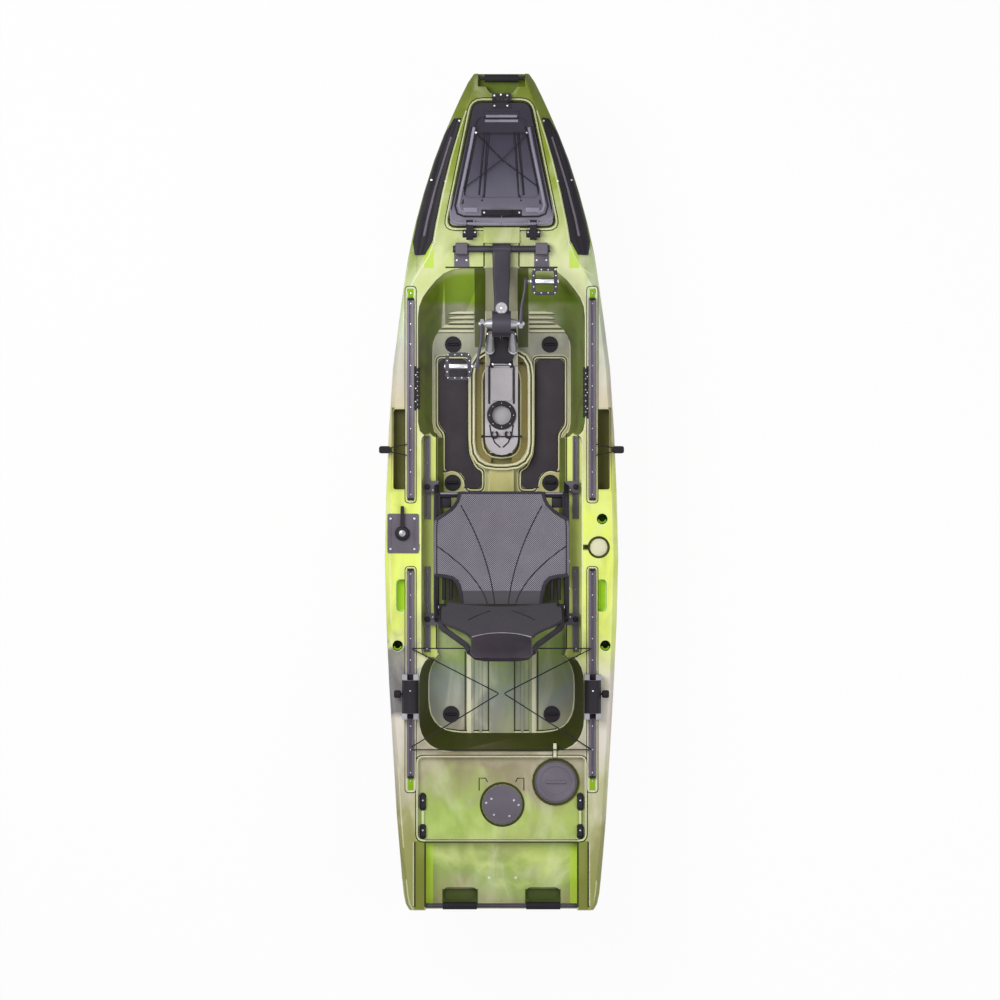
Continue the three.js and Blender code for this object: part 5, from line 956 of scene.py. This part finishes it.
# painted highlight and painted shade lines along the rims and grooves of the drive well, the cover's seat,
# the lid's moat and the rear deck; round the lid they paint the shadow of its gap
lineSets = {
    "wellRim": (rectangle(-0.143, 0.143, 0.1, 0.64), level(0.1722), 0.12, [
        (-0.004, "rim", 0.0046), (-0.012, "groove", 0.003), (-0.0205, "bone", 0.0042)]),
    "coverSeat": (rectangle(-0.0727, 0.0727, 0.166, 0.558), level(0.1508), 0.072, [
        (0.004, "groove", 0.0034), (0.012, "rim", 0.0036)]),
    "lidMoat": ([(-0.231, 1.168), (0.231, 1.168), (0.12, 1.701), (-0.12, 1.701)], onDeck, 0.034, [
        (0.0052, "groove", 0.005), (0.015, "rim", 0.004), (0.0215, "groove", 0.002)]),
    "rearDeckLine": (rectangle(-0.366, 0.366, -1.52, -1.16), level(0.3302), 0.025, [
        (0.0045, "rim", 0.0034), (0.01, "groove", 0.0022)]),
}
for name, (outline, height, corner, lines) in lineSets.items():
    lineSet(name, outline, height, lines, corner)
# straight lines on both sides: across, from, to, height, look, radius; dark ones are painted shade, pale ones
# painted highlights
straightLines = {
    "deckGrooves": (0.0765, 1.163, 0.99, onDeck, "groove", 0.003),
    "ledgeLines": (0.2865, -0.3, 0.262, level(0.2158), "groove", 0.0024),
    "ledgeRearLines": (0.2865, -0.69, -0.3, level(0.2158), "groove", 0.0024),
    "bayLips": (0.354, -0.69, 0.24, level(0.3303), "rim", 0.0034),
    "sternInnerLines": (0.3345, -1.815, -1.53, level(0.3303), "groove", 0.004),
    "sternOuterLines": (0.38, -1.815, -1.53, level(0.3303), "groove", 0.0034),
    "sternPaleLines": (0.386, -1.81, -1.53, level(0.3303), "rim", 0.003),
    "wellFloorLines": (0.057, -1.052, -0.7, level(0.1802), "groove", 0.0026),
    "wellInnerLines": (0.124, -1.052, -0.7, level(0.1758), "groove", 0.0028),
    "wellOuterLines": (0.16, -1.052, -0.7, level(0.1758), "groove", 0.0028),
}
for name, (x, first, last, height, look, radius) in straightLines.items():
    along = [first + (last - first) * step / 6 for step in range(7)]
    fitting(name, look, [(sweep, [(side * x, y, height(y)) for y in along], radius, 8, 0.7)
        for side in sides], angle=60)
fitting("tankRibs", "bone", [
    (brick, side * 0.142, 0.0105, (-1.088, -0.7), (0.1745, 0.18), 0.002) for side in sides])
hookLine = [(0.098, -1.306), (0.098, -1.252), (0.07, -1.252), (0.062, -1.268)]
# dark lines of painted shade along the deck grooves, the hook recesses and round the round hatch
fitting("deckGrooveLines", "groove", [
    *((sweep, [(side * x, 0.9865, 0.339) for x in (0.078, 0.14, 0.2, 0.245)], 0.0034, 8, 0.7)
        for side in sides),
    *((sweep, [(side * x, y, 0.3054) for x, y in hookLine], 0.0024, 8, 0.7) for side in sides),
    (sweep, arc((0.003, -1.367, 0.3052), 0.0935, 48, pi / 24), 0.005, 8, 0.6, True),
], angle=60)
# a pale line and a dark line of painted shade inside the rear well
tankPath = [(-0.322, -0.735), (-0.322, -1.057), (0.322, -1.057), (0.322, -0.735)]
for name, out, look, radius in (("tankLine", 0.0, "bone", 0.0036), ("tankGroove", -0.008, "groove", 0.0026)):
    points = [(x + (out if x < 0 else -out), y - (out if y < -1 else 0), 0.1758) for x, y in tankPath]
    fitting(name, look, [(sweep, smoothed(points, 0.15, closed=False), radius, 8, 0.7)], angle=60)

# the cup's insert and its ring of painted shade, the round hatch's tether with dark edges of painted shade,
# stern dots, painted light on the walls of the rod holes
cupForm = {"spot": (0.426, -0.239), "ring": 0.0445, "cup": 0.0385, "lid": 0.028}
tetherForm = {"x": 0.234, "half": 0.007, "along": (-1.159, -1.098), "edge": 0.0095}
fitting("cupHolderRing", "groove", [
    (sweep, arc((*cupForm["spot"], 0.33), cupForm["ring"], 40, pi / 20), 0.0042, 8, 0.7, True)], angle=60)
fitting("paleInserts", "bone", [
    (drum, (*cupForm["spot"], 0.318), cupForm["cup"], 0.01, 40, 0.0025),
    (drum, (*cupForm["spot"], 0.3238), cupForm["lid"], 0.002, 40, 0.0008),
    *((drum, (x, -1.692, topAt(x, -1.692)[0].z - 0.0015), 0.0065, 0.006, 16, 0.0015)
        for x in (-0.055, 0.063)),
    (brick, tetherForm["x"], tetherForm["half"], tetherForm["along"], (0.3306, 0.333), 0.0008),
])
fitting("tetherEdges", "groove", [
    (sweep, [(x, -1.16, 0.3312), (x, -1.096, 0.3312)], 0.002, 8)
    for x in about(tetherForm["x"], tetherForm["edge"])
], angle=60)
fitting("rodHoleLitWalls", "lime", [
    (sweep, arc((x, y, 0.316), 0.0165, 11, radians(16), radians(190)), 0.0042, 8, 0.8)
    for x, y in ((0.441, -0.115), (0.455, -0.67), (-0.455, -0.67))], angle=60)

# a painted highlight along each side panel, painted highlights on the seat's front tube
panelHighlightForm = {
    "spots": [(452, 138), (445.5, 158), (438.5, 180), (433.5, 198), (428.8, 216), (424.5, 236)],
    "radius": 0.0075, "flat": 0.3,
}
fitting("sidePanelHighlights", "slate", [
    (sweep, [topUnder(point) for point in path], panelHighlightForm["radius"], 10, panelHighlightForm["flat"])
    for path in (panelHighlightForm["spots"], mirrored(panelHighlightForm["spots"]))], angle=60)
tops = {side: topAt(side * 0.23, -0.003)[0].z for side in sides}
fitting("seatFrontTubeHighlights", "frost", [
    (brick, side * 0.23, 0.038, (-0.0066, 0.0006), (top - 0.001, top + 0.0022), 0.001)
    for side, top in tops.items()
], "seat")
print("beads laid")

# woven seat and back, each one stretched sheet; the rows hold the place along and the half width
slingForm = {
    "rows": [
        (0.004, 0.186), (-0.014, 0.189), (-0.034, 0.195), (-0.055, 0.207), (-0.074, 0.225), (-0.092, 0.249),
        (-0.108, 0.276), (-0.12, 0.292), (-0.15, 0.2955), (-0.19, 0.296), (-0.24, 0.296), (-0.29, 0.296),
        (-0.34, 0.296), (-0.362, 0.295), (-0.3665, 0.25), (-0.374, 0.218), (-0.39, 0.199), (-0.41, 0.19),
        (-0.44, 0.183), (-0.47, 0.179), (-0.488, 0.178),
    ],
    "sag": 0.026, "frontHeight": 0.3385, "rearHeight": 0.3225, "tube": 0.286, "wrap": 0.015,
}
backForm = {
    "rows": [
        (0.436, 0.112), (0.426, 0.124), (0.412, 0.131), (0.39, 0.135), (0.36, 0.134), (0.32, 0.131),
        (0.29, 0.132), (0.27, 0.137), (0.25, 0.147), (0.23, 0.164), (0.21, 0.188), (0.19, 0.216),
        (0.17, 0.243), (0.155, 0.257), (0.14, 0.2625), (0.1, 0.2625), (0.06, 0.262), (0.027, 0.26),
        (0.018, 0.24), (0.0, 0.239), (-0.02, 0.238),
    ],
    "face": 0.0148, "dip": 0.006, "tube": 0.262, "low": -0.02, "bellyHeight": 0.12, "belly": 0.03,
}
clothForm = {"columns": 36, "thick": 0.0026}
hinge = Vector((0, -0.5, 0.368))
lean = Matrix.Rotation(radians(30), 3, "X")


def slingPoint(x, y, lift=0.0):
    s = slingForm
    share = min(1.0, max(0.0, (0.004 - y) / 0.492))
    edge = s["frontHeight"] + (s["rearHeight"] - s["frontHeight"]) * min(1.0, share / 0.85)
    across = min(1.0, abs(x) / s["tube"])
    z = edge - s["sag"] * sin(pi * share) * (1 - across ** 2)
    beyond = max(0.0, abs(x) - s["tube"])
    if beyond:
        z -= s["wrap"] - sqrt(max(0.0, s["wrap"] ** 2 - beyond ** 2))
    return Vector((x, y, z + lift))


def backPoint(x, h, lift=0.0):
    b = backForm
    middle = 1 - min(1.0, abs(x) / b["tube"]) ** 2
    fade = max(0.0, 1 - max(0.0, h - b["low"]) / b["bellyHeight"])
    return hinge + lean @ Vector((x, b["face"] - b["dip"] * middle + lift, h + b["belly"] * middle * fade))


def clothSheet(node, look, form, spot, body):
    bm = bmesh.new()
    cloth = bm.loops.layers.uv.new("cloth")
    count = clothForm["columns"]
    rows = []
    for along, half in form["rows"]:
        across = [half * (2 * column / count - 1) for column in range(count + 1)]
        rows.append([(bm.verts.new(spot(x, along)), (x, along)) for x in across])
    for first, second in zip(rows, rows[1:]):
        for c in range(count):
            corners = [first[c], second[c], second[c + 1], first[c + 1]]
            face = bm.faces.new([vert for vert, _ in corners])
            for loop, (_, uv) in zip(face.loops, corners):
                loop[cloth].uv = uv
    bm.normal_update()
    piece = finishPiece(camel(node), bm, look, body, 60, False)
    thick = piece.modifiers.new("clothThickness", "SOLIDIFY")
    thick.thickness = clothForm["thick"]
    thick.offset = -1
    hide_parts(node)


clothSheet("seat_sling", "mesh", slingForm, slingPoint, "seat")
clothSheet("back_sling", "panel", backForm, backPoint, "seat_back")


def curved(start, middle, end, steps=14):
    points = []
    for step in range(steps + 1):
        t = step / steps
        points.append(tuple((1 - t) ** 2 * a + 2 * t * (1 - t) * b + t ** 2 * c
            for a, b, c in zip(start, middle, end)))
    return points


def edgeLines(form, first, last, inset=0.004):
    return [[(side * (half - inset), along) for along, half in form["rows"] if last <= along <= first]
        for side in sides]


def hemLine(half, along, steps):
    return [[(half * step / steps, along) for step in range(-steps, steps + 1)]]


def seams(*terms):
    return [curved(*((side * x, along) for x, along in line)) for side in sides for line in terms]


# bindings, hems and seams that run over the cloth: lines, look, radius, flatness, lift
clothLines = {
    "seatFrontBindings": (edgeLines(slingForm, 0.004, -0.12), "fabric", 0.0075, 0.45, 0.001),
    "seatRearBindings": (edgeLines(slingForm, -0.362, -0.488), "fabric", 0.0085, 0.45, 0.001),
    "seatFrontHem": (hemLine(0.178, 0.0, 10), "fabric", 0.006, 0.45, 0.001),
    "seatSideHems": (edgeLines(slingForm, -0.12, -0.362, 0.012), "cord", 0.0022, 0.6, 0.001),
    "seatSeams": (seams(
        ((0.178, -0.056), (0.055, -0.27), (0.03, -0.486)), ((0.282, -0.235), (0.1, -0.36), (0.062, -0.486)),
    ), "cord", 0.0024, 0.6, 0.001),
    "backSeams": (seams(((0.048, 0.036), (0.085, 0.07), (0.144, 0.132))), "cord", 0.003, 0.6, 0.0028),
    "backWaistBindings": (edgeLines(backForm, 0.27, 0.14, 0.003), "fabric", 0.0055, 0.45, 0.001),
    "backLowerHem": (hemLine(0.236, -0.016, 12), "fabric", 0.005, 0.45, 0.001),
    "backSideHems": (edgeLines(backForm, 0.155, 0.027, 0.004), "cord", 0.0026, 0.6, 0.001),
}


def clothLine(name, lines, look, radius, flat, lift):
    spot, body = (slingPoint, "seat") if name.startswith("seat") else (backPoint, "seat_back")
    rows = [(sweep, [spot(x, along, lift) for x, along in line], radius, 8, flat) for line in lines]
    fitting(name, look, rows, body)


for name, terms in clothLines.items():
    clothLine(name, *terms)

# the head pad: a flat pillow on the upper band, with pale piping along its lower edge
pillowForm = {
    "half": 0.128, "low": 0.272, "bulge": 0.036, "high": 0.44, "drop": 0.02, "thick": 0.016, "lift": 0.0012,
    "columns": 24, "rows": 14,
}


def pillowPlace(u, v):
    p = pillowForm
    low = p["low"] - p["bulge"] * (1 - u * u)
    high = p["high"] - p["drop"] * u ** 4
    return u * p["half"], low + (high - low) * v


# a net of faces over rows of points, turned over where the points run the other way
def net(bm, grid, over=False):
    rows = [[bm.verts.new(point) for point in line] for line in grid]
    for first, second in zip(rows, rows[1:]):
        for c in range(len(first) - 1):
            corners = [first[c], first[c + 1], second[c + 1], second[c]]
            bm.faces.new(corners[::-1] if over else corners)


def pillowSide(bm, front):
    p = pillowForm
    grid = []
    for row in range(p["rows"] + 1):
        v = row / p["rows"]
        line = []
        for column in range(p["columns"] + 1):
            u = 2 * column / p["columns"] - 1
            swell = ((1 - abs(u) ** 6) * (1 - abs(2 * v - 1) ** 6)) ** 0.7 if front else 0.0
            line.append(backPoint(*pillowPlace(u, v), p["lift"] + p["thick"] * swell))
        grid.append(line)
    net(bm, grid, not front)


headPad = fitting("headPad", "padding", [(pillowSide, True), (pillowSide, False)], "seat_back")
clothLine("headPadPiping", [[pillowPlace(u / 12, 0.0) for u in range(-12, 13)]], "piping", 0.0026, 1.0,
    0.0035)
sleeveLine = [
    (0.262, 0.13), (0.262, 0.158), (0.254, 0.18), (0.225, 0.218), (0.19, 0.266), (0.16, 0.306), (0.15, 0.322),
    (0.144, 0.345), (0.136, 0.375),
]
fitting("hoopSleeves", "fabric", [
    (sweep, [hinge + lean @ Vector((side * x, 0, h)) for x, h in sleeveLine], 0.0128, 12) for side in sides
], "seat_back")
fitting("seatBraces", "black", [
    *((sweep, [(side * x, -0.35, 0.3), (side * x, -0.47, 0.298)], 0.0085, 12) for x in (0.222, 0.252)
        for side in sides),
    *((brick, side * 0.25, 0.03, (-0.066, -0.018), (0.303, 0.311), 0.002) for side in sides),
    *((brick, side * 0.272, 0.005, (-0.11, -0.012), (0.298, 0.33), 0.002) for side in sides),
], "seat")
bandForm = {"half": 0.174, "rows": (-0.43, -0.45, -0.47, -0.487), "lift": 0.0009, "columns": 12,
    "thick": 0.0008}
bm = bmesh.new()
net(bm, [
    [slingPoint(bandForm["half"] * step / bandForm["columns"], y, bandForm["lift"])
     for step in range(-bandForm["columns"], bandForm["columns"] + 1)] for y in bandForm["rows"]], True)
bm.normal_update()
band = finishPiece("seatRearBand", bm, "panel", "seat", 60, False)
band.modifiers.new("bandThickness", "SOLIDIFY").thickness = bandForm["thick"]
print("seat cloth laid")

# pedals: caged platforms with grip pins
pedalForm = {
    "x": 0.188, "halfX": 0.05, "halfY": 0.054, "throw": 0.185, "z": 0.45, "thick": 0.011, "barHalf": 0.0122,
    "pins": (
        (-0.9, -0.93), (-0.3, -0.93), (0.3, -0.93), (0.9, -0.93),
        (-0.9, 0.93), (-0.3, 0.93), (0.3, 0.93), (0.9, 0.93),
        (-0.97, -0.45), (0.97, -0.45), (-0.97, 0.45), (0.97, 0.45), (-0.6, 0.0), (0.0, 0.0), (0.6, 0.0)),
}
for side, word in sideWords:
    f = pedalForm
    body = "pedal_" + word.lower()
    x, y = side * f["x"], 0.735 + side * f["throw"]
    fitting("pedal" + word.lower() + "Pins", "silver", [
        (drum, (x + dx * f["halfX"], y + dy * f["halfY"], z), 0.003, 0.006, 8)
        for z in about(f["z"], f["thick"]) for dx, dy in f["pins"]], body)
    fitting("pedal" + word.lower() + "Caps", "silver", [
        (brick, x, 0.04, about(y, 0.0085), about(f["z"], f["barHalf"]), 0.0015),
        (drum, (side * 0.246, y, f["z"]), 0.01, 0.006, 20, 0.001, (1, 0, 0)),
        (drum, (side * 0.1275, y, f["z"]), 0.01, 0.008, 20, 0.001, (1, 0, 0)),
    ], body)

# drive: cap bolt and its ring of screws, bolts of the flange, crank bolts
fitting("armCapBolts", "silver", [
    (drum, (0, 0.802, 0.4858), 0.0062, 0.003, 6, 0.0006),
    *((screwHead, spot, 0.0026) for spot in arc((0, 0.802, 0.4853), 0.0185, 6, pi / 3)),
], "drive")
fitting("flangeBolts", "silver", [
    (drum, (side * x, y, 0.2122), 0.0055, 0.004, 6, 0.0006)
    for side in sides for x, y in ((0.038, 0.566), (0.06, 0.7))], "drive")
fitting("crankBolts", "silver", [
    (drum, (side * 0.0965, 0.735, 0.45), 0.0095, 0.005, 20, 0.001, (1, 0, 0)) for side in sides], "crank")

# well cover: dark strips beside the raised panel, tapered trim round the tail, open rings, front studs
coverForm = {
    "taper": [(0.052, 0.3), (0.046, 0.262), (0.03, 0.222), (0.006, 0.2)],
    "ring": arc((0.031, 0.256, 0.1945), 0.014, 9, 0.16 * pi, 0.62 * pi),
}
rows = [(brick, 0, 0.051, (0.5608, 0.596), (0.155, 0.19), 0.001)]
for side in sides:
    rows += [
        (brick, side * 0.0545, 0.0042, (0.392, 0.553), (0.1858, 0.1905), 0.0012),
        (brick, side * 0.046, 0.01, (0.552, 0.57), (0.1855, 0.195), 0.002),
        (sweep, [(side * x, y, 0.1872) for x, y in coverForm["taper"]], 0.003, 8, 0.6),
        (sweep, [(side * x, y, z) for x, y, z in coverForm["ring"]], 0.0046, 10),
    ]
fitting("coverTrim", "black", rows, "well_cover")
fitting("coverFrontBar", "grey", [
    (brick, 0, 0.04, (0.563, 0.57), (0.189, 0.1935), 0.0015)], "well_cover")
fitting("coverFrontStuds", "black", [
    *((drum, (side * 0.088, 0.5715, 0.1885), 0.0065, 0.012, 12, 0.001, (1, 0, 0)) for side in sides),
    *((sweep, [(side * x, 0.5715, 0.1885) for x in (0.074, 0.1)], 0.0028, 8) for side in sides),
])

# perforated tool strips inside the front rails
stripForm = {"count": 9, "starts": {-1: 0.366, 1: 0.33}, "end": 0.548, "up": (0.3303, 0.3333),
    "screws": (0.18, 0.5, 0.82)}
for side, word in sideWords:
    low, high = stripForm["starts"][side], stripForm["end"]
    pitch = (high - low) / stripForm["count"]
    bars = [about(low + pitch * (row + 0.5), pitch * 0.36) for row in range(stripForm["count"])]
    fitting("toolStrip" + word, "black", [
        *((brick, side * 0.3685, 0.0125, bar, (0.3305, 0.3345), 0.001) for bar in bars),
        (brick, side * 0.376, 0.005, (low - 0.006, high + 0.006), stripForm["up"], 0.001),
        (brick, side * 0.361, 0.0035, (low - 0.002, high + 0.002), stripForm["up"], 0.001),
    ])
    fitting("toolStripScrews" + word, "silver", [
        (screwHead, (side * 0.376, low + (high - low) * share, 0.3352), 0.0042)
        for share in stripForm["screws"]])

# tie-downs at the edges of the rear deck
tieForm = {"x": 0.345, "spans": ((-1.39, -1.32), (-1.514, -1.456)), "inset": 0.01, "bar": (-1.452, -1.394)}
for side, word in sideWords:
    x = side * tieForm["x"]
    rows = []
    for low, high in tieForm["spans"]:
        ends = (low + tieForm["inset"], high - tieForm["inset"])
        rows.append((sweep, [(x, y, 0.3155) for y in ends], 0.0145, 14, 0.75))
        rows += [(drum, (x, y, 0.3085), 0.015, 0.006, 18) for y in ends]
    fitting("tieDown" + word, "black", rows)
    fitting("tieDownScrews" + word, "silver", [
        (screwHead, (x, low * 0.4 + high * 0.6, 0.3275), 0.0052) for low, high in tieForm["spans"]])
    fitting("tieDownBar" + word, "rim", [(sweep, [(x, y, 0.3105) for y in tieForm["bar"]], 0.0075, 12)],
        angle=60)

# end caps of the rails, knobs of the seat's clamps, bolts of the seat frame and of the back's hinge
fitting("railEndCaps", "black", [
    (brick, side * railForm["x"], 0.014, about(y, 0.0052), (0.3304, 0.3436), 0.002)
    for side in sides for y in (-0.0285, 0.8475, -1.2455, -0.3375)])
fitting("seatClampKnobs", "black", [
    (drum, (side * 0.326, y, 0.2585), 0.0125, 0.01, 16, 0.0016) for side in sides for y in (0.026, -0.556)
], "seat")
fitting("seatFrameBolts", "silver", [
    *((screwHead, (side * 0.302, y, 0.2565), 0.0045) for side in sides for y in (0.012, -0.546)),
    *((drum, (side * 0.2985, y, 0.314), 0.004, 0.003, 8, 0.0, (1, 0, 0)) for side in sides
        for y in (-0.05, -0.3, -0.42)),
], "seat")
fitting("backHingeBolts", "silver", [
    (drum, hinge + Vector((side * 0.2745, 0, 0)), 0.0075, 0.0035, 6, 0.0006, (1, 0, 0)) for side in sides
], "seat_back")
print("fittings added")
